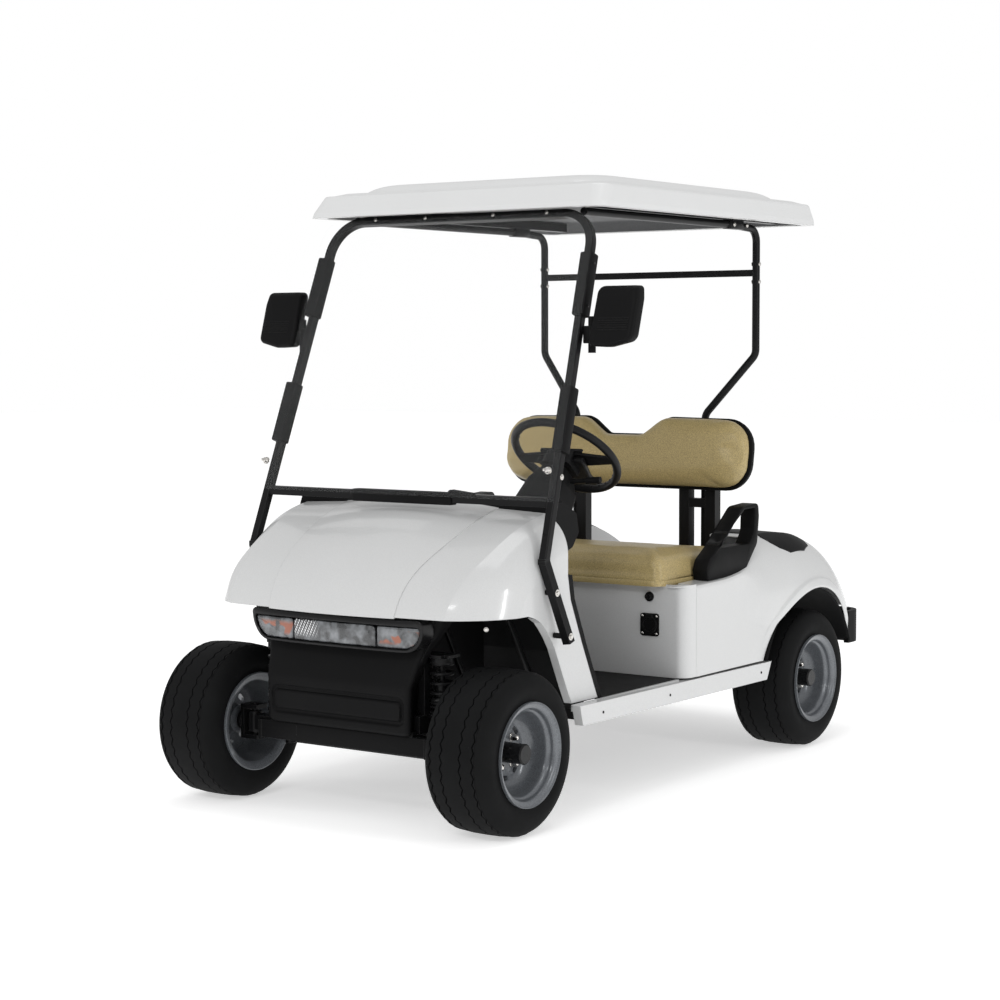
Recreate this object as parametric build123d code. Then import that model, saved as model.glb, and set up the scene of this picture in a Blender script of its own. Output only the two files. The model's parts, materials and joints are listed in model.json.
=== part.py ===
from build123d import *
import math
import os

# Two-seat electric golf cart, millimetres, +Z up, nose towards -Y, driver's (left) side +X.
# Lengthwise places below are stations measured back from the front axle line;
# FRONT_AXLE_Y moves them into the shared frame when a piece is written.

# ---- driving dimensions ---------------------------------------------------
FRONT_AXLE_Y = -941.0
WHEELBASE = 1690.0
HALF_TRACK = 490.0
TYRE_R = 229.0
RIM_R = 127.0            # bead seat of a 10 inch rim
FLANGE_R = 144.0
KING_PIN_X = 395.0
AXLE_Z = TYRE_R
BODY_HALF = 562.0        # outer face of the rocker panels and door-side seam
FLOOR_Z = 320.0
SEAT_FRONT = 893.0       # station of the heel panel
SEAT_TOP = 724.0
SIDE_TOP = 608.0         # top of the body side beside the bench
ROOF_FRONT = 431.0
ROOF_REAR = 1790.0
ROOF_EDGE_Z = 1737.0
ROOF_HALF = 542.0
POST_TUBE = 25.0
REAR_END = 2111.0        # rear face of the bumper

pieces = {}


def add(name, shape):
    """Keep a finished piece under its node name."""
    pieces[name] = shape


def box(x0, x1, y0, y1, z0, z1):
    """Axis-aligned block from its six limits."""
    size = (x1 - x0, y1 - y0, z1 - z0)
    mid = ((x0 + x1) / 2, (y0 + y1) / 2, (z0 + z1) / 2)
    return Pos(*mid) * Box(*size)


def mirrored(shape):
    """The same piece on the cart's right-hand side."""
    return mirror(shape, about=Plane.YZ)


def rod(a, b, radius):
    """Round bar from point a to point b."""
    a, b = Vector(*a), Vector(*b)
    plane = Plane(origin=a, z_dir=(b - a))
    return extrude(plane * Circle(radius), (b - a).length)


def bar(a, b, wide, deep, x_dir=(1, 0, 0)):
    """Square-section bar from point a to point b, wide along x_dir."""
    a, b = Vector(*a), Vector(*b)
    plane = Plane(origin=a, x_dir=x_dir, z_dir=(b - a))
    return extrude(plane * Rectangle(wide, deep), (b - a).length)


def side_plate(points, x0, x1):
    """Plate with its outline given as (station, height), from x0 to x1."""
    outline = make_face(Polyline(*[(y, z) for y, z in points], close=True))
    plane = Plane(origin=(x0, 0, 0), x_dir=(0, 1, 0), z_dir=(1, 0, 0))
    return extrude(plane * outline, x1 - x0)


def turned(points, centre, side):
    """Solid of revolution about the axle line; points are (outboard, radius)."""
    plane = Plane(origin=centre, x_dir=(side, 0, 0), z_dir=(0, -side, 0))
    return revolve(plane * make_face(Polyline(*points, close=True)),
                   Axis(centre, (1, 0, 0)))


# ---- wheels ---------------------------------------------------------------
# name, station of the axle, side
WHEELS = (
    ("front_left", 0.0, 1),
    ("front_right", 0.0, -1),
    ("rear_left", WHEELBASE, 1),
    ("rear_right", WHEELBASE, -1),
)

TYRE_PROFILE = (
    (-98, RIM_R), (-99, 150), (-104, 165), (-105, 180), (-102, 197),
    (-94, 212), (-81, 223), (-64, 228), (0, TYRE_R),
    (64, 228), (81, 223), (94, 212), (102, 197),
    (105, 180), (104, 165), (99, 150), (98, RIM_R),
)
RIM_PROFILE = (
    (14, 16.2), (18, 30), (18, 92), (30, 103), (54, 106), (58, 116),
    (96, 120), (105, 128), (107, 140), (109, FLANGE_R), (101, FLANGE_R),
    (100, RIM_R - 0.5), (-100, RIM_R - 0.5), (-101, FLANGE_R),
    (-109, FLANGE_R), (-107, 138), (-98, 121), (-60, 118),
    (-20, 112), (6, 104), (8, 92), (8, 46), (-34, 42), (-38, 16.2),
)


def make_tyre(station, side):
    centre = (side * HALF_TRACK, station, AXLE_Z)
    return turned(TYRE_PROFILE, centre, side)


def make_rim(station, side):
    """Deep-dish steel rim with a slotted inboard disc."""
    centre = (side * HALF_TRACK, station, AXLE_Z)
    rim = turned(RIM_PROFILE, centre, side)
    plane = Plane(origin=(side * (HALF_TRACK - 4), station, AXLE_Z),
                  x_dir=(0, 1, 0), z_dir=(side, 0, 0))
    slot = SlotOverall(30, 15, rotation=90)
    for spot in PolarLocations(74, 8):
        rim = rim - extrude(plane * spot * slot, 40)
    return rim


def make_hub_cap(station, side):
    points = ((18.5, 0), (18.5, 28.5), (86, 28.5), (90, 25), (90, 0))
    return turned(points, (side * HALF_TRACK, station, AXLE_Z), side)


for wheel, station, side in WHEELS:
    add("tyre_" + wheel, make_tyre(station, side))
    add("rim_" + wheel, make_rim(station, side))
    add("hub_cap_" + wheel, make_hub_cap(station, side))


# ---- front axle and steering linkage --------------------------------------
ARM_X, ARM_Y = 356.0, 112.0      # end of the steering arm


def make_knuckle():
    """Left knuckle: yoke round the king-pin eye, stub axle and steering arm."""
    pin = rod((KING_PIN_X, 0, 178), (KING_PIN_X, 0, 284), 11)
    top = box(370, 432, -24, 24, 268, 280)
    foot = box(370, 432, -24, 24, 178, 190)
    back = box(420, 432, -24, 24, 178, 280)
    stub = rod((431, 0, AXLE_Z), (HALF_TRACK + 12, 0, AXLE_Z), 16)
    flange = rod((431, 0, AXLE_Z), (442, 0, AXLE_Z), 30)
    arm = bar((KING_PIN_X, 0, 184), (ARM_X, ARM_Y, 184), 26, 12, (1, 0, 0))
    eye = rod((ARM_X, ARM_Y, 178), (ARM_X, ARM_Y, 190), 15)
    return pin + top + foot + back + stub + flange + arm + eye


knuckle = make_knuckle()
add("knuckle_left", knuckle)
add("knuckle_right", mirrored(knuckle))


def make_front_axle():
    """Beam between the king pins, with an eye at each end."""
    beam = box(-380, 380, -22, 22, 207, 251)
    for side in (1, -1):
        eye = rod((side * KING_PIN_X, 0, 199), (side * KING_PIN_X, 0, 259), 21)
        bore = rod((side * KING_PIN_X, 0, 190), (side * KING_PIN_X, 0, 270), 11.1)
        beam = beam + eye - bore
    return beam


add("front_axle_beam", make_front_axle())

tie_rod = rod((-ARM_X, ARM_Y, 162), (ARM_X, ARM_Y, 162), 9)
for side in (1, -1):
    tie_rod = tie_rod + rod((side * ARM_X, ARM_Y, 151), (side * ARM_X, ARM_Y, 172), 15)
add("tie_rod", tie_rod)


def make_leaf_pair(station, reach, drop, eye_z):
    """Left and right leaf packs, each of three leaves bowed below the axle."""
    pack = None
    for number, length in enumerate((reach, reach * 0.72, reach * 0.46)):
        z_mid = drop - 8 * number
        rise = (eye_z - drop) * (length / reach) ** 2
        arc = ThreePointArc((-length, z_mid + rise), (0, z_mid),
                            (length, z_mid + rise))
        under = ThreePointArc((-length, z_mid + rise - 8), (0, z_mid - 8),
                              (length, z_mid + rise - 8))
        edge_a = Line(arc @ 0, under @ 0)
        edge_b = Line(arc @ 1, under @ 1)
        face = make_face([arc.edge(), edge_b.edge(), under.edge(), edge_a.edge()])
        plane = Plane(origin=(213, station, 0), x_dir=(0, 1, 0), z_dir=(1, 0, 0))
        leaf = extrude(plane * face, 44)
        pack = leaf if pack is None else pack + leaf
    for end in (-1, 1):
        y = station + end * reach
        pack = pack + rod((213, y, eye_z - 4), (257, y, eye_z - 4), 14)
    return pack + mirrored(pack)


add("rear_springs", make_leaf_pair(WHEELBASE, 290, 196, 244))


def make_front_dampers():
    """Left and right coil-over dampers standing on the axle beam."""
    foot, head = 251.5, 473.0
    x = 298
    damper = rod((x, 0, foot), (x, 0, foot + 12), 34)
    damper = damper + rod((x, 0, foot), (x, 0, 400), 20)
    damper = damper + rod((x, 0, 400), (x, 0, head), 9)
    damper = damper + rod((x, 0, head - 12), (x, 0, head), 34)
    coil_turns = 7
    pitch = (head - foot - 30) / coil_turns
    for turn in range(coil_turns + 1):
        damper = damper + Pos(x, 0, foot + 14 + pitch * turn) * Torus(30, 5)
    for turn in range(coil_turns):
        z = foot + 14 + pitch * turn
        damper = damper + box(x - 31, x - 19, -3, 3, z, z + pitch)
    return damper + mirrored(damper)


add("front_dampers", make_front_dampers())


def make_radius_arms():
    """Trailing links that hold the front beam fore and aft."""
    arm = rod((180, 36, 229), (180, 294.5, 286), 10)
    arm = arm + rod((164, 36, 229), (196, 36, 229), 13.5)
    return arm + mirrored(arm)


add("front_radius_arms", make_radius_arms())


# ---- frame, rear axle, heavy block ----------------------------------------
RAIL_IN, RAIL_OUT = 208.0, 262.0     # side rails of the ladder frame
RAIL_FOOT, RAIL_ROOF = 262.0, 311.0
CROSS_MEMBERS = ((-60, -10), (300, 345), (905, 950), (1385, 1425), (1915, 1960))
OUTRIGGERS = ((345, 385), (905, 945), (1330, 1370))


def make_cross_members():
    """Bars between the rails, and outriggers that carry the rockers."""
    bars = [box(-RAIL_IN, RAIL_IN, y0, y1, 266, 307) for y0, y1 in CROSS_MEMBERS]
    for y0, y1 in OUTRIGGERS:
        arm = box(RAIL_OUT, 532, y0, y1, 270, 300)
        bars += [arm, mirrored(arm)]
    return Compound(bars)


def make_frame_brackets():
    """Damper towers on the rails, and spring hangers below them."""
    tower = box(240, 262, -35, 35, RAIL_ROOF, 482) + box(240, 334, -16, 35, 474, 482)
    tower = tower + box(240, 317, -35, -16, 474, 482)
    brackets = [tower, mirrored(tower)]
    for y in (WHEELBASE - 290, WHEELBASE + 290):
        for x in (206, 258):
            hanger = box(x, x + 6, y - 20, y + 20, 216, RAIL_FOOT)
            brackets += [hanger, mirrored(hanger)]
    return Compound(brackets)


rail = box(RAIL_IN, RAIL_OUT, -60, 1960, RAIL_FOOT, RAIL_ROOF)
add("frame_rails", rail + mirrored(rail))
add("frame_cross_members", make_cross_members())
add("frame_brackets", make_frame_brackets())


def make_rear_axle():
    tube = rod((-374, WHEELBASE, AXLE_Z), (374, WHEELBASE, AXLE_Z), 30)
    for side in (1, -1):
        hub = rod((side * 372, WHEELBASE, AXLE_Z),
                  (side * (HALF_TRACK + 12), WHEELBASE, AXLE_Z), 16)
        drum = rod((side * 360, WHEELBASE, AXLE_Z),
                   (side * 436, WHEELBASE, AXLE_Z), 84)
        tube = tube + hub + drum
    diff = rod((30, WHEELBASE, AXLE_Z), (130, WHEELBASE, AXLE_Z), 88)
    case = box(40, 120, WHEELBASE - 150, WHEELBASE, 200, 262)
    motor = rod((41, WHEELBASE - 120, 232), (-200, WHEELBASE - 120, 232), 78)
    return tube + diff + case + motor


add("rear_axle", make_rear_axle())
add("battery_block", box(-500, 500, 965, 1320, 315, 585))

# ---- floor, rockers, heel panel -------------------------------------------
floor_mat = box(-525, 525, 476, SEAT_FRONT - 1, 311, FLOOR_Z)
floor_mat = floor_mat + box(-494, 494, 400, 477, 311, FLOOR_Z)
toe_board = side_plate(((392, 311), (404, 320), (330, 470), (300, 640),
                        (290, 640), (318, 465)), -500, 500)
add("floor_mat", floor_mat + toe_board)


def make_rocker():
    """White rocker panel under the door opening, left side."""
    outline = ((298, FLOOR_Z - 1), (1440, 313), (1410, 256), (314, 261))
    panel = side_plate(outline, 534, BODY_HALF)
    top = box(526, 536, 306, 892, 300, FLOOR_Z - 1)
    return panel + top - box(500, 556, 330, 1400, 240, 308)


rocker = make_rocker()
add("rocker_panels", rocker + mirrored(rocker))

HEEL_RADIUS = 38.0       # upright corners of the moulding under the bench


def make_heel_panel():
    """Panel behind the feet, turned back along each side at rounded corners."""
    outer = Pos(0, SEAT_FRONT + 150) * RectangleRounded(2 * (BODY_HALF - 1), 300,
                                                       HEEL_RADIUS)
    inner = Pos(0, SEAT_FRONT + 150) * RectangleRounded(2 * (BODY_HALF - 9), 284,
                                                       HEEL_RADIUS - 8)
    wrap = extrude(Pos(0, 0, FLOOR_Z + 1) * (outer - inner), SIDE_TOP - FLOOR_Z - 1)
    wrap = wrap & box(-700, 700, SEAT_FRONT - 5, SEAT_FRONT + 60, 0, 900)
    step = box(-BODY_HALF, -524, SEAT_FRONT - 5, SEAT_FRONT + 60, 0, FLOOR_Z + 2)
    return wrap - step - mirrored(step)


def make_receptacle():
    """Charging socket: rounded plate, raised collar and sprung cap."""
    face_y = SEAT_FRONT - 0.2
    plane = Plane(origin=(SOCKET_X, face_y, SOCKET_Z), x_dir=(1, 0, 0),
                  z_dir=(0, -1, 0))
    socket = extrude(plane * RectangleRounded(66, 70, 9), 4)
    socket = socket + extrude(plane * Circle(27), 9)
    socket = socket - extrude(plane.offset(4) * (Circle(20) - Circle(18)), 20)
    socket = socket - extrude(plane.offset(7) * Circle(19), 20)
    return socket + extrude(plane * Pos(0, 27) * Rectangle(22, 10), 10)


SOCKET_X, SOCKET_Z = 432.0, 481.0
KEY_X, KEY_Z = 431.0, 568.0
add("heel_panel", make_heel_panel())
add("charge_receptacle", make_receptacle())
key_plane = Plane(origin=(KEY_X, SEAT_FRONT - 0.2, KEY_Z), x_dir=(1, 0, 0),
                  z_dir=(0, -1, 0))
key = extrude(key_plane * Circle(15), 5) + extrude(key_plane * Circle(10), 15)
add("key_switch", key - extrude(key_plane.offset(12) * Rectangle(2, 9), 6))


# ---- front cowl -----------------------------------------------------------
# Sections of the hood in planes turned about a line across the cart. Angle is
# up from straight ahead; each (x, r) pair is a half-width and its distance.
FAN_Y, FAN_Z = 300.0, 592.0      # the fan line lies level with the nose's lip
LEG_X = 520.0            # outer face of the cowl's legs
COWL_SKIN = 6.0
HOOD_FAN = (
    # angle, crown_r, crease, shoulder, roll, side
    (90, 294, (279, 278), (440, 271), (489, 238), (LEG_X, 160)),
    (74, 284, (276, 268), (440, 264), (491, 232), (LEG_X, 150)),
    (58, 290, (271, 272), (430, 267), (487, 236), (LEG_X, 150)),
    (40, 314, (263, 297), (420, 286), (484, 248), (LEG_X, 160)),
    (25, 358, (249, 342), (410, 326), (484, 276), (LEG_X, 190)),
    (12, 408, (235, 392), (398, 377), (484, 306), (LEG_X, 220)),
    (0, 444, (226, 426), (385, 412), (486, 328), (LEG_X, 250)),
)
# Front edge of a leg, round the wheel arch
COWL_ARCH = ((100, 592), (135, 582), (163, 568), (186, 546),
             (209, 520), (232, 487), (255, 441), (290, 372), (318, 321))
# Rear edge of a leg, from the dash down to its foot
COWL_REAR = ((300, 690), (314, 618), (371, 492), (455, 321))


def fan_plane(angle):
    """Section plane holding the fan line; its local y points outwards."""
    a = math.radians(angle)
    return Plane(origin=(0, FAN_Y, FAN_Z), x_dir=(1, 0, 0),
                 z_dir=(0, -math.sin(a), -math.cos(a)))


def flip(point):
    return (-point[0], point[1])


def hood_section(row, skin, turn):
    """Closed section of the hood at one fan angle, drawn in by skin."""
    angle, crown, crease, shoulder, roll, side = row
    crease = (crease[0], crease[1] - skin)
    shoulder = (shoulder[0] - skin * 0.4, shoulder[1] - skin)
    roll = (roll[0] - skin * 0.7, roll[1] - skin * 0.7)
    side = (side[0] - skin, side[1])
    base = (LEG_X - skin, 10 if skin == 0 else 4)
    edges = [
        ThreePointArc(flip(crease), (0, crown - skin), crease),
        Line(crease, shoulder),
        ThreePointArc(shoulder, roll, side),
        Line(side, base),
        Line(base, flip(base)),
        Line(flip(base), flip(side)),
        ThreePointArc(flip(side), flip(roll), flip(shoulder)),
        Line(flip(shoulder), flip(crease)),
    ]
    return fan_plane(angle + turn) * make_face([e.edge() for e in edges])


def panel_section(row, turn):
    """Section of the slightly raised panel between the hood's crease lines."""
    angle, crown, crease = row[:3]
    edge, foot = (crease[0], crease[1] + 2.5), (crease[0], crease[1] - 3)
    edges = [
        ThreePointArc(flip(edge), (0, crown + 2.5), edge),
        Line(edge, foot),
        ThreePointArc(foot, (0, crown - 3), flip(foot)),
        Line(flip(foot), flip(edge)),
    ]
    return fan_plane(angle + turn * 0.08) * make_face([e.edge() for e in edges])


def make_cowl():
    """Hood and both legs as one open moulding."""
    outer = loft([hood_section(row, 0, 0) for row in HOOD_FAN])
    turns = [5] + [0] * (len(HOOD_FAN) - 2) + [-5]
    inner = loft([hood_section(row, COWL_SKIN, turn)
                  for row, turn in zip(HOOD_FAN, turns)])
    panel = loft([panel_section(row, turn) for row, turn in zip(HOOD_FAN, turns)])
    leg = side_plate(COWL_ARCH + tuple(reversed(COWL_REAR)) + ((290, 690), (290, 592)),
                     LEG_X - COWL_SKIN, LEG_X)
    edge = COWL_ARCH[1:]
    flange = side_plate(edge + tuple((y + 7, z + 3) for y, z in reversed(edge)),
                        LEG_X - 26, LEG_X)
    leg = leg + flange
    return (outer - inner) + panel + leg + mirrored(leg)


add("front_cowl", make_cowl())


def make_cowl_trim():
    """Black edging strip along the rear edge of each cowl leg."""
    front = tuple((y + 0.5, z) for y, z in COWL_REAR)
    back = tuple((y + 18, z) for y, z in reversed(front))
    strip = side_plate(front + back, LEG_X - 24, LEG_X + 2)
    return strip + mirrored(strip)


add("cowl_trims", make_cowl_trim())

# ---- nose below the cowl --------------------------------------------------
def plan_slab(points, z0, z1):
    """Prism with a plan outline given as (x, station)."""
    face = make_face(Polyline(*points, close=True))
    return extrude(Pos(0, 0, z0) * face, z1 - z0)


def front_panel(points, y0, y1):
    """Plate seen from the front; points are (x, height)."""
    plane = Plane(origin=(0, y1, 0), x_dir=(1, 0, 0), z_dir=(0, -1, 0))
    return extrude(plane * make_face(Polyline(*points, close=True)), y1 - y0)


LAMP_TOP, LAMP_FOOT, LAMP_FACE = 584.0, 493.0, -118.0
LAMP_HALF = 304.0
# Right half of the lamp bar's outline seen from the front, from its top corner
LAMP_SIDE = ((LAMP_HALF, LAMP_TOP), (LAMP_HALF, 556), (272, LAMP_FOOT))
LAMP_BREAKS = (-148, 150)        # joints between turn signals and head lamp


def lamp_slab(shrink, y0, y1):
    """Lamp-bar outline drawn in by shrink, between two stations."""
    points = LAMP_SIDE + tuple((-x, z) for x, z in reversed(LAMP_SIDE))
    face = make_face(Polyline(*points, close=True))
    rows = face.vertices().group_by(Axis.Y)
    face = fillet(rows[0], 38)
    face = fillet([v for v in face.vertices() if v.Y > LAMP_TOP - 1], 14)
    if shrink:
        face = offset(face, -shrink)
    plane = Plane(origin=(0, y1, 0), x_dir=(1, 0, 0), z_dir=(0, -1, 0))
    return extrude(plane * face, y1 - y0)


bezel = lamp_slab(0, LAMP_FACE, -62) - lamp_slab(8, LAMP_FACE - 5, -74)
bezel = bezel - box(-400, 400, -140, LAMP_FACE + 3, LAMP_TOP - 24, LAMP_TOP - 8)
add("light_bar", bezel)
lens = lamp_slab(9, LAMP_FACE + 3, -75)
add("head_lamp", lens & box(LAMP_BREAKS[0] + 2, LAMP_BREAKS[1] - 2, -200, 0, 400, 700))
turn = (lens & box(LAMP_BREAKS[1] + 2, 400, -200, 0, 400, 700)) + (
    lens & box(-400, LAMP_BREAKS[0] - 2, -200, 0, 400, 700))
add("turn_lamps", turn)


def make_front_shield():
    """Black nose moulding: flared front, returned edges and framed pad."""
    outline = ((-262, 268), (262, 268), (266, 400), (300, 488), (-300, 488), (-266, 400))
    face = make_face(Polyline(*outline, close=True))
    face = fillet(face.vertices().group_by(Axis.Y)[0], 26)
    plane = Plane(origin=(0, -44, 0), x_dir=(1, 0, 0), z_dir=(0, -1, 0))
    shell = extrude(plane * face, 60)
    shell = fillet(shell.edges().group_by(Axis.Y)[0], 14)
    shell = shell - extrude(plane * offset(face, -5), 55)
    frame_plane = Plane(origin=(0, -104, 0), x_dir=(1, 0, 0), z_dir=(0, -1, 0))
    centre = Pos(0, (PAD_FOOT + PAD_TOP) / 2)
    tall = PAD_TOP - PAD_FOOT
    frame_ring = RectangleRounded(2 * PAD_HALF, tall, 20) - RectangleRounded(
        2 * PAD_HALF - 22, tall - 22, 12)
    shell = shell - extrude(frame_plane * centre * frame_ring, -3)
    pad = extrude(frame_plane.offset(-1) * centre * RectangleRounded(
        2 * PAD_HALF - 26, tall - 26, 11), 9)
    pad = fillet(pad.edges().group_by(Axis.Y)[0], 5)
    shell = shell + pad
    # Swept-back cheeks beside the lamps, up to the hood's lip
    cheek = Polyline((300, -58), (306, -64), (352, -10), (346, -4), close=True)
    cheek = extrude(Pos(0, 0, 300) * make_face(cheek), 286)
    trim = front_panel(((290, 478), (345, 560), (352, 600), (290, 600)), -80, 10)
    cheek = cheek & trim
    web = box(-306, 306, -62, -50, 470, 585)
    rail_notch = box(-263, 263, -61, -40, 260, 312)
    return shell - rail_notch + web + cheek + mirrored(cheek)


PAD_HALF, PAD_FOOT, PAD_TOP = 246.0, 286.0, 366.0
add("front_shield", make_front_shield())
cross_beam = box(-310, 310, -104, -64, 203, 258)
tab = box(214, 256, -86, -66, 257, 268)
add("front_cross_beam", cross_beam + tab + mirrored(tab))

# Inner panels that close the wheel arches
inner_panel = side_plate(((-43, 580), (-43, 330), (180, 313), (286, 330), (286, 586),
                          (170, 586)), 232, 236)
add("inner_panels", inner_panel + mirrored(inner_panel))

# ---- dash, steering, pedals -----------------------------------------------
WHEEL_X, WHEEL_Y, WHEEL_Z = 295.0, 630.0, 1008.0
WHEEL_TILT = 40.0        # lean of the column from upright
WHEEL_R, GRIP_R = 164.0, 12.5
COLUMN = Vector(0, math.sin(math.radians(WHEEL_TILT)),
                math.cos(math.radians(WHEEL_TILT)))
HUB = Vector(WHEEL_X, WHEEL_Y, WHEEL_Z)


def down_column(distance):
    """Point on the column line, measured below the wheel's rim plane."""
    return HUB - COLUMN * distance


dash = side_plate(((302, 642), (302, 858), (316, 889), (352, 894), (420, 856),
                   (432, 800), (400, 760), (345, 740), (330, 642)), -470, 470)
dash = dash - rod(down_column(240), down_column(300), 24.4)
add("dash", dash)


def column_plane(distance):
    """Plane square to the column, its y towards the driver."""
    return Plane(origin=down_column(distance), x_dir=(1, 0, 0), z_dir=COLUMN)


def make_column():
    """Column tube, faceted shroud, cowl over the dash and signal lever."""
    column = rod(down_column(56), down_column(300), 24)
    shroud = loft([
        column_plane(66) * RectangleRounded(84, 84, 16),
        column_plane(120) * RectangleRounded(128, 120, 24),
        column_plane(215) * RectangleRounded(150, 136, 26),
    ], ruled=True)
    lever_root = down_column(96)
    lever = rod(lever_root + Vector(30, 0, 0), lever_root + Vector(112, 14, 6), 7)
    tip = rod(lever_root + Vector(104, 13, 5), lever_root + Vector(150, 20, 9), 10)
    return column + shroud + lever + tip


def make_steering_wheel():
    """Rim with finger ribs, deep hub pad and two broad spokes."""
    plane = Plane(origin=HUB, x_dir=(1, 0, 0), z_dir=COLUMN)
    rim = plane * Torus(WHEEL_R, GRIP_R)
    for spot in PolarLocations(WHEEL_R - GRIP_R + 2.5, 30):
        rim = rim + plane * spot * Sphere(4.5)
    hub = extrude(plane.offset(-50) * RectangleRounded(96, 84, 14), 44)
    spokes = None
    for side in (1, -1):
        spoke = Polyline((0, -30), (side * 60, -26), (side * (WHEEL_R - 3), -12),
                         (side * (WHEEL_R - 3), 18), (side * 60, 30), (0, 34),
                         close=True)
        spoke = extrude(plane.offset(-12) * make_face(spoke), 8)
        spokes = spoke if spokes is None else spokes + spoke
    bar_edge = extrude(plane.offset(-6) * Pos(0, -30) * RectangleRounded(150, 9, 4), 9)
    return rim + hub + spokes + bar_edge


add("steering_column", make_column())
add("steering_wheel", make_steering_wheel())
pedals = None
for x, wide in ((150, 62), (262, 80)):
    pedal = box(x, x + wide, 392, 402, 372, 480)
    pedal = pedal + box(x + wide / 2 - 9, x + wide / 2 + 9, 364, 393, 425, 445)
    pedals = pedal if pedals is None else pedals + pedal
add("pedals", pedals)

# ---- windshield frame and sheet -------------------------------------------
POST_TOP = Vector(478, 508, 1722)
POST_BAR = Vector(521, 228, 900)
POST_BEND = Vector(532, 160, 740)
POST_FOOT = Vector(566, 234, 508)


def on_post(z, ahead=0.0, out=0.0):
    """Point on the left post's centre line at a height."""
    share = (z - POST_BEND.Z) / (POST_TOP.Z - POST_BEND.Z)
    point = POST_BEND + (POST_TOP - POST_BEND) * share
    return Vector(point.X + out, point.Y - ahead, z)


def make_windshield_frame():
    """Bent square-tube hoop with its lower bar, feet and stand-offs."""
    half = [POST_BEND, POST_TOP]
    hoop_path = FilletPolyline(*half, *[Vector(-p.X, p.Y, p.Z) for p in reversed(half)],
                               radius=110)
    start = Plane(origin=hoop_path @ 0, x_dir=(1, 0, 0), z_dir=hoop_path % 0)
    hoop = sweep(start * RectangleRounded(POST_TUBE, POST_TUBE, 4), path=hoop_path)
    foot = bar(POST_BEND + (POST_BEND - POST_FOOT) * 0.02, POST_FOOT,
               POST_TUBE, POST_TUBE)
    bend = Pos(*POST_BEND) * Box(POST_TUBE, POST_TUBE, 16)
    studs = None
    for share in (0.38, 0.92):
        p = POST_BEND + (POST_FOOT - POST_BEND) * share
        stud = rod(p, (LEG_X + 0.5, p.Y, p.Z), 8)
        studs = stud if studs is None else studs + stud
    side = foot + bend + studs
    lower = box(-512, 512, 207, 229, 887, 914)
    return hoop + side + mirrored(side) + lower


add("windshield_frame", make_windshield_frame())


def make_windshield():
    """Clear sheet standing just ahead of the hoop, narrower at its top."""
    lean = POST_TOP - POST_BEND
    plane = Plane(origin=(0, on_post(905).Y - 30, 905), x_dir=(1, 0, 0),
                  z_dir=(0, -lean.Z, lean.Y))
    tall = 868
    outline = Polyline((-545, 0), (545, 0), (500, tall), (-500, tall), close=True)
    face = make_face(outline)
    face = fillet(face.vertices().sort_by(Axis.Y)[-2:], 60)
    return extrude(plane * face, 5)


windshield = make_windshield()
add("windshield", windshield)

clips = None
for z0, z1 in ((1000, 1180), (1400, 1600)):
    clip = bar(on_post(z0, 24, 12), on_post(z1, 24, 12), 30, 18)
    clips = clip if clips is None else clips + clip
clips = clips + mirrored(clips)
add("windshield_clips", clips - windshield)

# ---- mirrors --------------------------------------------------------------
mirror_y = 400
MIRROR_OUTLINE = ((548, 1350), (566, 1338), (682, 1366), (689, 1396), (679, 1512),
                  (600, 1512), (586, 1490), (570, 1402))


def make_mirror_head():
    """Housing with rounded corners, a dished back and a lip round the glass."""
    face = make_face(Polyline(*MIRROR_OUTLINE, close=True))
    corners = [v for v in face.vertices() if v.X > 575 or v.Y < 1345]
    face = fillet(corners, 13)
    plane = Plane(origin=(0, mirror_y + 22, 0), x_dir=(1, 0, 0), z_dir=(0, -1, 0))
    housing = extrude(plane * face, 44)
    housing = fillet(housing.edges().group_by(Axis.Y)[0], 11)
    return housing - extrude(plane * offset(face, -6), 4)


head = make_mirror_head()
pivot = rod((536, mirror_y, 1318), (536, mirror_y, 1422), 11)
arm = box(540, 580, mirror_y - 9, mirror_y + 9, 1352, 1386)
bracket = box(512, 536, mirror_y - 12, mirror_y + 12, 1345, 1395) + arm
mirror_left = head + pivot + bracket
add("mirrors", mirror_left + mirrored(mirror_left))

# ---- roof and rear frame --------------------------------------------------
def roof_section(z, half, y0, y1, radius):
    face = RectangleRounded(2 * half, y1 - y0, radius)
    return Pos(0, (y0 + y1) / 2, z) * face


def make_roof():
    """Canopy: flared band, crowned top, raised centre and hollow underside."""
    band = loft([
        roof_section(ROOF_EDGE_Z, ROOF_HALF, ROOF_FRONT, ROOF_REAR, 42),
        roof_section(ROOF_EDGE_Z + 16, ROOF_HALF - 1, ROOF_FRONT + 7, ROOF_REAR - 1, 42),
        roof_section(1806, ROOF_HALF - 14, ROOF_FRONT + 47, ROOF_REAR - 12, 44),
    ], ruled=True)
    band = fillet(band.edges().group_by(Axis.Z)[-1], 11)
    crown = loft([
        roof_section(1805, 520, 488, 1768, 46),
        roof_section(1815, 492, 520, 1742, 60),
    ], ruled=True)
    raised = loft([
        roof_section(1808, 462, 545, 1716, 95),
        roof_section(1828, 440, 572, 1692, 92),
        roof_section(1843, 405, 622, 1640, 92),
        roof_section(1850, 330, 740, 1540, 90),
    ])
    under = loft([
        roof_section(ROOF_EDGE_Z - 1, 512, 466, 1758, 36),
        roof_section(1774, 484, 500, 1728, 36),
    ], ruled=True)
    return (band + crown + raised) - under


add("roof", make_roof())

RAIL_X = 421.0
roof_rail = box(RAIL_X - 15, RAIL_X + 15, 520, 1700, 1742, 1771.5)
add("roof_rails", roof_rail + mirrored(roof_rail))

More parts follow.
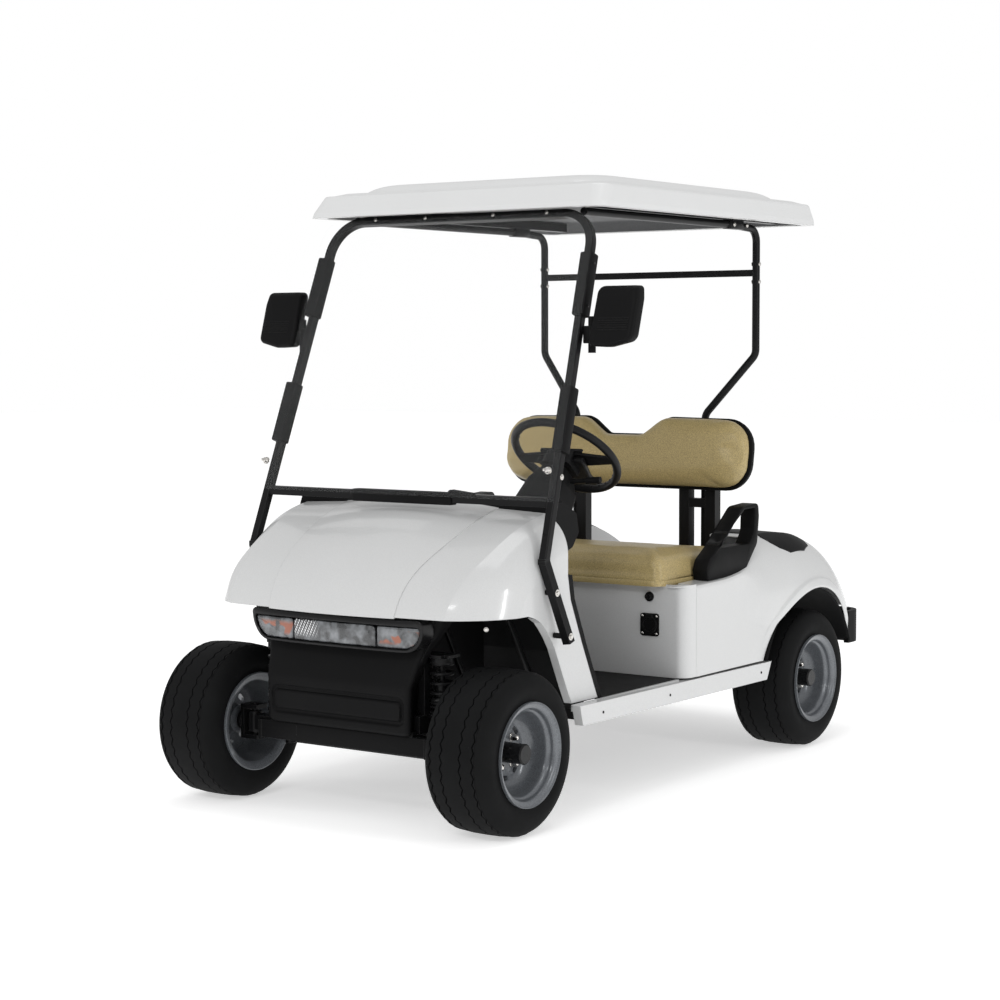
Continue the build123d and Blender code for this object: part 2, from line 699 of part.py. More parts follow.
STRUT_R = 12.5
strut_path = ((RAIL_X, 1400, 1729), (RAIL_X, 1581, 1720), (RAIL_X, 1581, 1308),
              (256, 1536, 1108), (256, 1534, 660))
strut_wire = FilletPolyline(*strut_path, radius=45)
strut = sweep(Plane(origin=strut_wire @ 0, z_dir=strut_wire % 0) * Circle(STRUT_R),
              path=strut_wire)
cross = box(-RAIL_X, RAIL_X, 1574, 1588, 1566, 1588)
add("canopy_frame", strut + mirrored(strut) + cross)

# ---- rear body ------------------------------------------------------------
ARCH_R = 322.0           # rear wheel arch
ARCH_Z = 211.0
WELL_HALF = 330.0        # inner wall of the bag well
DECK_Z = 424.0
# Sections of the left rear quarter, front to back
QUARTER = (
    # y, out_x, mid_z, mid_x, shoulder (x, z), top (x, z)
    (1330, 561, 480, 562, (556, 600), (530, 640)),
    (1372, 562, 486, 563, (555, 628), (520, 676)),
    (1416, 565, 492, 567, (552, 648), (506, 705)),
    (1480, 569, 495, 572, (548, 662), (490, 720)),
    (1600, 577, 500, 580, (552, 660), (486, 717)),
    (1750, 583, 490, 583, (556, 630), (488, 692)),
    (1880, 580, 455, 574, (550, 578), (488, 648)),
    (1990, 568, 425, 558, (532, 515), (478, 588)),
    (2075, 540, 420, 530, (500, 458), (445, 503)),
)
# Top edge of the body side beside the bench, rising to the quarter
SIDE_EDGE = ((954, SIDE_TOP), (1140, 609), (1240, 620), (1300, 632), (1345, 654))
LIP_WIDE, LIP_PROUD = 30.0, 7.0


def quarter_section(row, grow):
    """Upright section: side wall, rounded shoulder and flat top."""
    y, out_x, mid_z, mid_x, shoulder, top = row
    foot = 320
    shoulder = (shoulder[0] + grow * 0.8, shoulder[1] + grow * 0.6)
    top = (top[0] + grow * 0.3, top[1] + grow)
    edges = [
        Line((WELL_HALF, foot), (out_x + grow, foot)),
        Line((out_x + grow, foot), (mid_x + grow, mid_z - 60)),
        ThreePointArc((mid_x + grow, mid_z - 60), shoulder, top),
        Line(top, (WELL_HALF, top[1] + 4)),
        Line((WELL_HALF, top[1] + 4), (WELL_HALF, foot)),
    ]
    plane = Plane(origin=(0, y, 0), x_dir=(1, 0, 0), z_dir=(0, -1, 0))
    return plane * make_face([e.edge() for e in edges])


def quarter_solid(grow):
    return loft([quarter_section(row, grow) for row in QUARTER])


def arch_disc(radius):
    """Disc along the rear wheel line, for cutting the arch and its lip."""
    return Pos(0, WHEELBASE, ARCH_Z) * Rot(0, 90, 0) * Cylinder(radius, 1300)


quarter_core = quarter_solid(0)


def make_rear_body():
    """White rear moulding: side panels, arched quarters, well and rear wall."""
    lip = quarter_solid(LIP_PROUD) & arch_disc(ARCH_R + LIP_WIDE)
    lip = lip & box(566, 640, 1390, 1984, 321, 700)
    side_points = ((954, 321), (1374, 321)) + tuple(reversed(
        SIDE_EDGE + ((1374, 668),)))
    side = side_plate(side_points, 547, 560)
    quarter = (quarter_core - box(300, 546, 1300, 1385, 300, 700)
               - box(300, 528, 1300, 1438, 596, 780)
               - box(300, 556, 1930, 1990, 200, DECK_Z + 4)
               - box(300, 700, 1985, 2100, 200, DECK_Z + 4))
    quarter = quarter + lip - arch_disc(ARCH_R) + side
    body = quarter + mirrored(quarter)
    back = box(-WELL_HALF - 1, WELL_HALF + 1, 2040, 2060, DECK_Z + 4, 486)
    bulkhead = box(-WELL_HALF - 1, WELL_HALF + 1, 1438, 1446, 330, 640)
    return body + back + bulkhead


add("rear_body", make_rear_body())
add("bag_deck", box(-WELL_HALF + 1, WELL_HALF - 1, 1447, 2039, 412, DECK_Z))


def make_bumper():
    """Black bumper that wraps the rear corners."""
    outer = Pos(0, 1900, 312) * RectangleRounded(1140, 2 * (REAR_END - 1900), 85)
    inner = Pos(0, 1900, 312) * RectangleRounded(1104, 2 * (REAR_END - 1918), 68)
    ring = extrude(outer, 110) - extrude(inner, 110)
    ring = ring & box(-600, 600, 1985, 2200, 300, 430)
    beam = box(-300, 300, 2060, 2094, 330, 400)
    return ring + beam


add("rear_bumper", make_bumper())
SCUFF_PLAN = ((334, 1470), (500, 1470), (524, 1500), (541, 1530), (556, 1580),
              (550, 1690), (522, 1770), (486, 1800), (334, 1800))


def make_scuff_guards():
    """Black wear strips laid over the tops of the quarters."""
    face = make_face(Polyline(*SCUFF_PLAN, close=True))
    face = fillet(face.vertices().filter_by(lambda v: v.X > 400), 8)
    strip = extrude(Pos(0, 0, 640) * face, 120)
    strip = (quarter_solid(2.5) & strip) - quarter_core
    return strip + mirrored(strip)


add("scuff_guards", make_scuff_guards())
tail = Plane(origin=(446, 2075, 456), x_dir=(1, 0, 0), z_dir=(0, 1, 0))
tail = extrude(tail * RectangleRounded(70, 44, 10), 16)
add("tail_lamps", tail + mirrored(tail))

# ---- seats ----------------------------------------------------------------
SEAT_HALF = 490.0
SEAT_HINGE_Y, SEAT_HINGE_Z = 1335.0, 612.0
CUSHION_FRONT, CUSHION_BACK = 852.0, 1324.0


def make_cushion():
    """Bench cushion: rolled front edge, rounded corners, slight crown."""
    mid_y = (CUSHION_FRONT + CUSHION_BACK) / 2
    plan = Pos(0, mid_y) * RectangleRounded(2 * SEAT_HALF, CUSHION_BACK - CUSHION_FRONT,
                                            46)
    cushion = extrude(Pos(0, 0, 620) * plan, SEAT_TOP - 620)
    cushion = fillet(cushion.edges().group_by(Axis.Z)[-1], 38)
    return fillet(cushion.edges().group_by(Axis.Z)[0], 8)


add("seat_cushion", make_cushion())


def make_seat_base():
    """Board under the cushion with the two barrels it swings on."""
    board = box(-484, 484, 900, 1322, 609, 619.5)
    for x in (250, -300):
        board = board + box(x, x + 50, 1320, SEAT_HINGE_Y, 609, 619)
        board = board + rod((x, SEAT_HINGE_Y, SEAT_HINGE_Z),
                            (x + 50, SEAT_HINGE_Y, SEAT_HINGE_Z), 9)
    return board


def make_seat_hinges():
    """Fixed straps on the bulkhead, each curled round a hinge pin."""
    strap = box(306, 330, SEAT_HINGE_Y, 1437.5, 600, 604)
    strap = strap + box(306, 330, 1433.5, 1437.5, 560, 604)
    eye = rod((306, SEAT_HINGE_Y, SEAT_HINGE_Z), (330, SEAT_HINGE_Y, SEAT_HINGE_Z), 9)
    strap = strap + eye
    return strap + mirrored(strap)


add("seat_base", make_seat_base())
add("seat_hinges", make_seat_hinges())

BACK_LEAN = 9.0
back_plane = Pos(0, 1448, 980) * Rot(-BACK_LEAN, 0, 0)
# Outline of the backrest seen from the front, with its notch for the shoulders
BACK_OUTLINE = ((-466, -112), (466, -112), (466, 112), (140, 118), (74, 60),
                (-74, 60), (-140, 118), (-466, 112))


def back_slab(grow, y0, y1):
    """Backrest outline, grown all round, as a slab with soft corners."""
    face = make_face(Polyline(*BACK_OUTLINE, close=True))
    ends = face.vertices().group_by(Axis.X)
    face = fillet(ends[0] + ends[-1], 62)
    notch = [v for v in face.vertices() if abs(v.X) < 150 and v.Y > 0]
    face = fillet(notch, 30)
    if grow:
        face = offset(face, grow)
    plane = Plane(origin=(0, y1, 0), x_dir=(1, 0, 0), z_dir=(0, -1, 0))
    return extrude(plane * face, y1 - y0)


back_pad = back_slab(0, -60, 5)
back_pad = fillet(back_pad.edges().group_by(Axis.Y)[0], 27)
add("seat_back", back_plane * back_pad)
add("seat_back_shell", back_plane * back_slab(6, 5.5, 30))
support = None
for x in (205, 305):
    post = box(x - 19, x + 19, 1484, 1521, 640, 1010)
    support = post if support is None else support + post
support = support + box(186, 324, 1485, 1515, 800, 830)
add("seat_supports", support + mirrored(support))

# Outline of a hip restraint seen from the side, and the hand hole in it
RESTRAINT = ((1056, 690), (1112, 606), (1345, 612), (1402, 662), (1450, 806),
             (1432, 832), (1343, 839), (1251, 815), (1150, 762))
HAND_HOLE = ((1352, 812), (1262, 790), (1168, 716), (1180, 698), (1322, 700),
             (1362, 730), (1396, 800))


def make_restraint():
    """Moulded armrest loop with a hand hole and softened edges."""
    face = make_face(Polyline(*RESTRAINT, close=True))
    tops = [v for v in face.vertices() if v.Y > 700]
    face = fillet(tops, 16)
    hole = make_face(Polyline(*HAND_HOLE, close=True))
    hole = fillet(hole.vertices(), 9)
    plane = Plane(origin=(499, 0, 0), x_dir=(0, 1, 0), z_dir=(1, 0, 0))
    loop = extrude(plane * (face - hole), 26)
    loop = fillet(loop.edges().group_by(Axis.X)[-1], 6)
    foot = side_plate(((1112, 606), (1345, 612), (1380, 646), (1080, 660)), 525, 546)
    foot = chamfer(foot.edges().group_by(Axis.X)[-1], 8)
    return loop + foot


restraint = make_restraint()
add("hip_restraints", restraint + mirrored(restraint))

for name, shape in pieces.items():
    pieces[name] = shape.moved(Location((0, FRONT_AXLE_Y, 0)))

os.makedirs("parts", exist_ok=True)
for name, shape in pieces.items():
    export_step(shape, "parts/" + name + ".step")
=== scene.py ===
"""Looks of the golf cart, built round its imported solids. Metres, nose towards -Y."""

import json
from math import atan2, cos, degrees, hypot, pi, radians, sin, sqrt, tan

import bpy
import bmesh
from mathutils import Matrix, Vector


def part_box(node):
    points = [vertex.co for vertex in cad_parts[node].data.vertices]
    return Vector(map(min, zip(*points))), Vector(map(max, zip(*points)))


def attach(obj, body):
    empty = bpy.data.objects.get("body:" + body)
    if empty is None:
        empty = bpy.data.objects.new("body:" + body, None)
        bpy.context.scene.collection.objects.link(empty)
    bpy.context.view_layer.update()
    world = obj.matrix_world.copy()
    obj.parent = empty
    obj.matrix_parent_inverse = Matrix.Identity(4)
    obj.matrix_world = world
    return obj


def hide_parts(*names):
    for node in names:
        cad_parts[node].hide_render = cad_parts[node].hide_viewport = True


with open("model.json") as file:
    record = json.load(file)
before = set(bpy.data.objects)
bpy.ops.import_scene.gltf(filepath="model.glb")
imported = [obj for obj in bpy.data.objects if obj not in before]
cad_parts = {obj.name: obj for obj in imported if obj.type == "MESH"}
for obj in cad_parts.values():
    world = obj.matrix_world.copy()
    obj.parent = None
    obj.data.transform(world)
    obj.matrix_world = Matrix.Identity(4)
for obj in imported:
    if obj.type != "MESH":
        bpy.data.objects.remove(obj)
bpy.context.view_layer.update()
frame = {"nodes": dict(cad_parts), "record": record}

# ---- places shared by the pieces
FRONT_AXLE_Y = (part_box("tyre_front_left")[0].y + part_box("tyre_front_left")[1].y) / 2
HALF_TRACK, WHEELBASE, WHEEL_R = 490, 1690, 229
SIDES = (1, -1)


def mm(x, station, z):
    """Point in metres from millimetres, its station measured back from the front axle."""
    return Vector((x / 1000, FRONT_AXLE_Y + station / 1000, z / 1000))


# ---- materials
BRIGHT, DARK = (1, 1, 1, 1), (0, 0, 0, 1)


def shade_of(colour, factor):
    """Lighter or darker shade of a colour, opaque."""
    return tuple(min(1.0, c * factor) for c in colour[:3]) + (1.0,)


def fill(tree, node, inputs):
    """Give a node's inputs, by name or number, a value or another node's output."""
    for key, value in inputs.items():
        if isinstance(value, bpy.types.NodeSocket):
            tree.links.new(value, node.inputs[key])
        else:
            node.inputs[key].default_value = value
    return node


class Look:
    """Node tree of one material, with short ways to add to it."""

    def __init__(self, name, shader):
        self.material = bpy.data.materials.new(name)
        self.material.use_nodes = True
        self.tree = self.material.node_tree
        self.shader = fill(self.tree, self.tree.nodes["Principled BSDF"], shader)
        self.place = self.node("TexCoord").outputs["Object"]

    def node(self, kind, inputs=None, **settings):
        made = self.tree.nodes.new("ShaderNode" + kind)
        for key, value in settings.items():
            setattr(made, key, value)
        return fill(self.tree, made, inputs or {})

    def noise(self, scale, detail=3.0):
        return self.node("TexNoise", {"Vector": self.place, "Scale": scale,
                                      "Detail": detail, "Roughness": 0.55}).outputs["Fac"]

    def ramp(self, value, low, high, start=0.3, end=0.7):
        """Colour that runs from low to high as the value passes start and end."""
        made = self.node("ValToRGB", {"Fac": value})
        stops = made.color_ramp.elements
        stops[0].position, stops[1].position = start, end
        stops[0].color, stops[1].color = low, high
        return made.outputs["Color"]

    def mix(self, factor, first, second, kind="MIX"):
        return self.node("Mix", {0: factor, 6: first, 7: second}, data_type="RGBA",
                         blend_type=kind).outputs[2]

    def times(self, a, b):
        return self.node("Math", {0: a, 1: b}, operation="MULTIPLY").outputs[0]

    def span(self, axis, low, high):
        """Even 0 to 1 step along an axis of the object."""
        split = self.node("SeparateXYZ", {"Vector": self.place})
        return self.node("MapRange", {"Value": split.outputs[axis], "From Min": low,
                                      "From Max": high}).outputs["Result"]

    def bands(self, scale, turn):
        """Evenly spaced bands across the front of a lamp, turned by degrees."""
        place = self.node("Mapping", {"Vector": self.place,
                                      "Rotation": (0, radians(turn), 0)})
        return self.node("TexWave", {"Vector": place.outputs["Vector"], "Scale": scale},
                         bands_direction="X", wave_profile="SIN").outputs["Fac"]


def surface(name, colour, rough, vary=0.05, patch=4.0, grain=700.0, bump=0.02,
            rough_vary=0.06, metallic=0.0, coat=0.0, coat_rough=0.04, wear_and_sheen=0.0,
            speckle=0.0, speckle_scale=900.0, specular=0.5, cells=False, soft=0.0012):
    """A material with patchy colour, varied gloss, grain, and edges lightened both as wear
    and as a painted highlight.
    """
    look = Look(name, {"Metallic": metallic, "Coat Weight": coat,
                       "Coat Roughness": coat_rough, "Specular IOR Level": specular})
    tint = look.ramp(look.noise(patch), shade_of(colour, 1 - vary),
                     shade_of(colour, 1 + vary))
    if speckle:
        dots = look.ramp(look.noise(speckle_scale, 1.0), shade_of(BRIGHT, 1 - speckle),
                         BRIGHT, 0.42, 0.58)
        tint = look.mix(1.0, tint, dots, "MULTIPLY")
    rounded = look.node("Bevel", {"Radius": soft}, samples=4).outputs["Normal"]
    # Lighter edges: partly rubbed wear, partly a painted highlight along the edges in place
    # of their sheen.
    if wear_and_sheen:
        flat = look.node("NewGeometry").outputs["Normal"]
        lean = look.node("VectorMath", {0: flat, 1: rounded}, operation="DOT_PRODUCT")
        edges = look.ramp(lean.outputs["Value"], BRIGHT, DARK, 0.82, 0.985)
        tint = look.mix(look.times(edges, wear_and_sheen), tint,
                        shade_of([c + 0.12 for c in colour], 1.0))
    gloss = look.node("MapRange", {"Value": look.noise(patch * 4.7),
                                   "To Min": max(0.02, rough - rough_vary),
                                   "To Max": min(1.0, rough + rough_vary)})
    if cells:
        height = look.node("TexVoronoi", {"Vector": look.place,
                                          "Scale": grain}).outputs["Distance"]
    else:
        height = look.noise(grain, 2.0)
    relief = look.node("Bump", {"Distance": bump / 1000, "Height": height,
                                "Normal": rounded})
    fill(look.tree, look.shader, {"Base Color": tint, "Normal": relief.outputs["Normal"],
                                  "Roughness": gloss.outputs["Result"]})
    return look.material


def clear(name, colour, rough, see):
    """Thin clear plastic: mostly lets light through, with a glossy face."""
    look = Look(name, {"Roughness": rough, "IOR": 1.47})
    haze = look.noise(3.0)
    veil = look.node("MapRange", {"Value": haze, "To Min": 1 - see,
                                  "To Max": 1 - see + 0.01})
    tint = look.ramp(haze, shade_of(colour, 0.97), shade_of(colour, 1.0))
    fill(look.tree, look.shader, {"Alpha": veil.outputs["Result"], "Base Color": tint})
    return look.material


def lamp_look(name, grey, bulb):
    """Moulded lens over a bright reflector: flutes, facets or a warm bulb."""
    look = Look(name, {"Metallic": 0.35, "Coat Weight": 1.0, "Coat Roughness": 0.03,
                       "Roughness": 0.22})
    tone = look.ramp(look.noise(26, 2.0), shade_of(grey, 0.3), shade_of(grey, 1.9),
                     0.38, 0.66)
    flutes = look.bands(75, 0)
    colour = look.mix(1.0, tone, look.ramp(flutes, (0.62, 0.62, 0.62, 1), BRIGHT, 0.1, 0.8),
                      "MULTIPLY")
    if bulb:
        mask = look.ramp(look.noise(34, 1.0), DARK, BRIGHT, 0.5, 0.58)
        inner = look.times(look.span("Z", 0.556, 0.546), mask)
        colour = look.mix(look.times(look.span("Z", 0.512, 0.522), inner), colour,
                          (0.30, 0.085, 0.04, 1))
    else:
        facets = look.ramp(look.times(look.bands(46, 40), look.bands(30, -25)),
                           (0.05, 0.05, 0.055, 1), (0.86, 0.87, 0.88, 1), 0.2, 0.42)
        side = look.times(look.span("X", -0.052, -0.078), look.span("Z", 0.512, 0.53))
        colour = look.mix(side, colour, facets)
    relief = look.node("Bump", {"Distance": 0.0006, "Height": flutes})
    fill(look.tree, look.shader, {"Base Color": colour, "Normal": relief.outputs["Normal"]})
    return look.material


WHITE = (0.66, 0.665, 0.665)
BODY = surface("body_gloss_white", WHITE, 0.2, vary=0.01, grain=1400, bump=0.006,
               rough_vary=0.03, coat=0.35, coat_rough=0.03, speckle=0.07,
               speckle_scale=620, soft=0.003, specular=0.35)
ROOF = surface("roof_white", (0.72, 0.725, 0.725), 0.3, vary=0.01, grain=900, bump=0.01,
               rough_vary=0.04, coat=0.2, coat_rough=0.08, speckle=0.02, soft=0.003)
# Dark underside of the canopy: painted shade under the roof.
PAINTED_SHADE_LINER = surface("roof_underside_painted_shade", (0.075, 0.077, 0.08), 0.62, vary=0.05, grain=500,
                bump=0.12, speckle=0.25, speckle_scale=420)
# The black materials below get lighter edges, both wear and a painted edge highlight.
FRAME = surface("frame_black", (0.0075, 0.0075, 0.008), 0.3, vary=0.12, grain=1200,
                bump=0.01, wear_and_sheen=0.4, soft=0.0015, specular=0.14)
PLASTIC = surface("moulded_black", (0.007, 0.007, 0.0073), 0.5, vary=0.08, grain=1500,
                  bump=0.03, wear_and_sheen=0.25, soft=0.002, specular=0.07)
GRIP = surface("grip_black", (0.007, 0.007, 0.0075), 0.42, vary=0.1, grain=2400,
               bump=0.03, wear_and_sheen=0.15, specular=0.2)
SATIN = surface("satin_black", (0.007, 0.007, 0.0075), 0.24, vary=0.1, grain=900,
                bump=0.01, wear_and_sheen=0.25, specular=0.25)
RUBBER = surface("tyre_rubber", (0.0085, 0.0087, 0.009), 0.66, vary=0.12, patch=9,
                 grain=1500, bump=0.03, specular=0.06)
MAT = surface("mat_rubber", (0.009, 0.009, 0.0095), 0.6, vary=0.1, grain=600, bump=0.12,
              specular=0.15)
RIM = surface("rim_silver", (0.17, 0.182, 0.198), 0.3, vary=0.05, grain=1200, bump=0.02,
              metallic=0.25, coat=0.5, coat_rough=0.08, speckle=0.4, speckle_scale=560,
              specular=0.35)
CHROME = surface("bright_steel", (0.66, 0.64, 0.61), 0.14, vary=0.05, grain=900,
                 bump=0.01, metallic=1.0)
MIRROR_FACE = surface("mirror_glass", (0.8, 0.81, 0.82), 0.03, vary=0.01,
                      rough_vary=0.01, bump=0.0, metallic=1.0)
VINYL = surface("seat_vinyl", (0.52, 0.405, 0.185), 0.36, vary=0.03, patch=5, grain=430,
                bump=0.07, speckle=0.34, speckle_scale=430, cells=True, specular=0.35,
                coat=0.1, coat_rough=0.25)
BATTERY = surface("battery_case", (0.012, 0.012, 0.013), 0.6, vary=0.1, specular=0.15)
INSIDE = surface("arch_black", (0.006, 0.006, 0.0065), 0.6, vary=0.1, grain=900,
                 bump=0.02, specular=0.1)
SHEET = clear("windshield_clear", (0.93, 0.95, 0.95), rough=0.02, see=0.992)
LENS = lamp_look("lamp_fluted", (0.15, 0.158, 0.168), False)
AMBER = lamp_look("turn_lens", (0.13, 0.137, 0.146), True)
RED = surface("tail_lens", (0.2, 0.004, 0.003), 0.22, vary=0.2, patch=60, grain=400,
              bump=0.2, coat=0.3, specular=0.3)

SLOT_LOOKS = {
    "tyre": RUBBER, "rim_paint": RIM, "black_gloss": SATIN, "chassis_paint": FRAME,
    "battery_case": BATTERY, "black_plastic": PLASTIC, "key_metal": SATIN,
    "rubber_mat": MAT, "grip_black": GRIP, "body_paint": BODY, "roof_plastic": ROOF,
    "vinyl": VINYL, "clear_sheet": SHEET, "lamp_clear": LENS, "lamp_amber": AMBER,
    "lamp_red": RED,
}


def dress_nodes():
    """Give every solid the look of its material slot."""
    slot_of = {p["node"]: p["material_slot"] for p in frame["record"]["subparts"]}
    for name, obj in frame["nodes"].items():
        obj.data.materials.clear()
        obj.data.materials.append(SLOT_LOOKS[slot_of[name]])


dress_nodes()


# ---- mesh building
def new_object(name, verts, faces):
    mesh = bpy.data.meshes.new(name)
    mesh.from_pydata(verts, [], faces)
    mesh.validate()
    obj = bpy.data.objects.new(name, mesh)
    bpy.context.scene.collection.objects.link(obj)
    return obj


def evaluated_copy(obj):
    graph = bpy.context.evaluated_depsgraph_get()
    graph.update()
    return bpy.data.meshes.new_from_object(obj.evaluated_get(graph))


def shaped(obj, kind, **settings):
    """Run one modifier on an object and keep its result."""
    modifier = obj.modifiers.new("shaping", kind)
    for key, value in settings.items():
        setattr(modifier, key, value)
    obj.data = evaluated_copy(obj)
    obj.modifiers.clear()


def mended(obj, merge=0.0, outward=True):
    """Join points closer than merge and turn the faces outward."""
    work = bmesh.new()
    work.from_mesh(obj.data)
    if merge:
        bmesh.ops.remove_doubles(work, verts=work.verts, dist=merge)
    if outward:
        bmesh.ops.recalc_face_normals(work, faces=work.faces)
    work.to_mesh(obj.data)
    work.free()


def unpacked(work):
    """Vertices and faces of a bmesh, which ends here."""
    work.verts.index_update()
    parts = ([v.co.copy() for v in work.verts],
             [tuple(v.index for v in f.verts) for f in work.faces])
    work.free()
    return parts


class Shape:
    """Gathers vertices and faces of one joined piece."""

    def __init__(self):
        self.verts = []
        self.faces = []

    def put(self, verts, faces):
        base = len(self.verts)
        self.verts.extend(verts)
        self.faces.extend(tuple(base + i for i in face) for face in faces)
        return self

    def stack(self, rings, place, caps=True):
        """Add the skin through a stack of outlines."""
        return self.put(*stacked(rings, place, caps))

    def block(self, centre, size, edge, turn=Matrix.Identity(3), segments=2):
        """Add a block with rounded edges, turned by a matrix."""
        work = bmesh.new()
        bmesh.ops.create_cube(work, size=1.0)
        for v in work.verts:
            v.co = Vector((v.co.x * size[0], v.co.y * size[1], v.co.z * size[2]))
        bmesh.ops.bevel(work, geom=list(work.edges), offset=edge, segments=segments,
                        affect="EDGES", profile=0.5)
        verts, faces = unpacked(work)
        self.put([centre + turn @ v for v in verts], faces)

    def piece(self, name, material, body, stands_for=(), sharp=35):
        obj = new_object(name, self.verts, self.faces)
        obj.data.polygons.foreach_set("use_smooth", [True] * len(obj.data.polygons))
        obj.data.set_sharp_from_angle(angle=radians(sharp))
        obj.data.materials.append(material)
        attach(obj, body)
        if stands_for:
            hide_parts(*stands_for)
        return obj


def grid(rows, wide, ring=True, closed=False, caps=False):
    """Faces over rows of points. A ring joins each row's ends, closed the first and
    last row, and caps fill both ends."""
    faces = []
    for r in range(rows if closed else rows - 1):
        a, b = r * wide, (r + 1) % rows * wide
        for k in range(wide if ring else wide - 1):
            n = (k + 1) % wide
            faces.append((a + k, a + n, b + n, b + k))
    if caps:
        faces.append(tuple(reversed(range(wide))))
        faces.append(tuple((rows - 1) * wide + k for k in range(wide)))
    return faces


def turns(steps):
    """Angles of evenly spaced steps round a circle."""
    return [2 * pi * k / steps for k in range(steps)]


def lathe(profile, centre, normal, steps, closed=False):
    """Revolve (along, radius) points about an axis through centre."""
    n = Vector(normal).normalized()
    side = n.orthogonal().normalized()
    up = n.cross(side)
    verts = [centre + n * along + (side * cos(a) + up * sin(a)) * radius
             for along, radius in profile for a in turns(steps)]
    return verts, grid(len(profile), steps, closed=closed, caps=not closed)


def tube(points, radius, steps):
    """Round rod along a chain of points."""
    verts = []
    side = None
    for i, p in enumerate(points):
        ahead = points[min(i + 1, len(points) - 1)] - points[max(i - 1, 0)]
        ahead.normalize()
        if side is None:
            side = ahead.orthogonal().normalized()
        side = (side - ahead * side.dot(ahead)).normalized()
        up = ahead.cross(side)
        verts += [p + (side * cos(a) + up * sin(a)) * radius
                  for a in turns(steps)]
    return verts, grid(len(points), steps, caps=True)


def along_matrix(ahead, across):
    """Turn whose z runs along ahead and whose x lies near across."""
    z = Vector(ahead).normalized()
    y = z.cross(Vector(across)).normalized()
    x = y.cross(z)
    return Matrix((x, y, z)).transposed()


def bolt(shape, place, normal, radius=0.007, washer=0.011):
    """Washer and chamfered hex head standing on a face."""
    high = radius * 0.8
    shape.put(*lathe([(0, washer), (0.0012, washer), (0.0016, washer * 0.96)],
                     place, normal, 20))
    shape.put(*lathe([(0.0014, radius), (high * 0.86, radius), (high, radius * 0.86)],
                     place, normal, 6))


def dome(shape, place, normal, radius=0.006):
    """Low round-headed screw."""
    profile = [(0.0, radius), (radius * 0.3, radius * 0.94), (radius * 0.5, radius * 0.7),
               (radius * 0.6, radius * 0.35), (radius * 0.5, radius * 0.2)]
    shape.put(*lathe(profile, place, normal, 16))


# ---- wheels
WHEELS = (("front_left", 0, 1), ("front_right", 0, -1),
          ("rear_left", WHEELBASE, 1), ("rear_right", WHEELBASE, -1))
# Bead to tread: (outward, radius)
SIDEWALL = ((98, 127), (99.5, 134), (99, 142), (99.8, 150), (101.5, 158), (103.6, 165),
            (104.6, 172), (105, 180), (104, 189), (101.6, 197), (98.6, 205), (94, 212),
            (88.5, 218), (81, 222.6), (76, 224.6))
GROOVES = (-70, -31, 31, 70)
# Zigzag waves round the tyre, points in each, and half their height
WAVES, WAVE_POINTS, WAVE_HIGH = 42, 8, 3.6


def crown_radius(x):
    return WHEEL_R - 4.4 * (abs(x) / 76) ** 2.6


def tread_profile():
    """Across the tread: (lateral, radius, share of the zigzag it follows)."""
    crown = [(x, crown_radius(x), 0.0) for x in range(-72, 73, 8)]
    rows = [row for row in crown if all(abs(row[0] - g) > 7 for g in GROOVES)]
    for g in GROOVES:
        for shift, deep in ((-6.5, 0), (-2.5, 0), (-2.0, 0.6), (-1.7, 6.0),
                            (1.7, 6.0), (2.0, 0.6), (2.5, 0), (6.5, 0)):
            follow = 1.0 if abs(shift) < 3 else 0.25
            rows.append((g + shift, crown_radius(g) - deep, follow))
    return sorted(rows)


def make_tread(name, hub):
    """Tyre with four narrow zigzag grooves and a smooth side wall."""
    rows = ([(-x, r, 0.0) for x, r in SIDEWALL] + tread_profile()
            + [(x, r, 0.0) for x, r in reversed(SIDEWALL)])
    steps = WAVES * WAVE_POINTS
    verts = []
    for x, r, follow in rows:
        for k, a in enumerate(turns(steps)):
            zigzag = 4 * abs(k % WAVE_POINTS / WAVE_POINTS - 0.5) - 1
            verts.append(hub + Vector((x + follow * WAVE_HIGH * zigzag,
                                       r * cos(a), r * sin(a))) / 1000)
    tyre = Shape().put(verts, grid(len(rows), steps, closed=True))
    tyre.piece("tyre_tread_" + name, RUBBER, "wheel_" + name, ("tyre_" + name,), sharp=50)


# Radius of the lug nuts' circle and height of the disc's face, in metres
LUG_CIRCLE, DISC_FACE = 0.0508, 0.018


def make_lug_nuts(name, hub, out):
    """Four bright lug nuts with washers on the disc."""
    nuts = Shape()
    for k in range(4):
        a = radians(45 + 90 * k)
        place = hub + out * DISC_FACE + Vector((0, cos(a), sin(a))) * LUG_CIRCLE
        nuts.put(*lathe([(0, 0.0125), (0.0025, 0.0125), (0.003, 0.0118)], place, out, 24))
        nuts.put(*lathe([(0.002, 0.0105), (0.016, 0.0105), (0.018, 0.0092),
                         (0.021, 0.0078), (0.023, 0.0045)], place, out, 6))
    nuts.piece("lug_nuts_" + name, CHROME, "wheel_" + name)


for wheel, station, side in WHEELS:
    centre = mm(side * HALF_TRACK, station, WHEEL_R)
    make_tread(wheel, centre)
    make_lug_nuts(wheel, centre, Vector((side, 0, 0)))


# ---- outlines and stuffed forms
def smooth_step(value):
    value = min(max(value, 0.0), 1.0)
    return value * value * (3 - 2 * value)


def rounded_outline(corners, steps=8):
    """Closed outline from corners (u, v, radius), each turned by an arc."""
    points = []
    n = len(corners)
    for i, (u, v, radius) in enumerate(corners):
        p = Vector((u, v))
        a = (Vector(corners[i - 1][:2]) - p).normalized()
        b = (Vector(corners[(i + 1) % n][:2]) - p).normalized()
        half = a.angle(b) / 2
        reach = radius / tan(half)
        middle = p + (a + b).normalized() * (radius / sin(half))
        start, end = p + a * reach - middle, p + b * reach - middle
        turn = atan2(start.x * end.y - start.y * end.x, start.dot(end))
        for k in range(steps + 1):
            c, d = cos(turn * k / steps), sin(turn * k / steps)
            points.append(middle + Vector((start.x * c - start.y * d,
                                           start.x * d + start.y * c)))
    return points


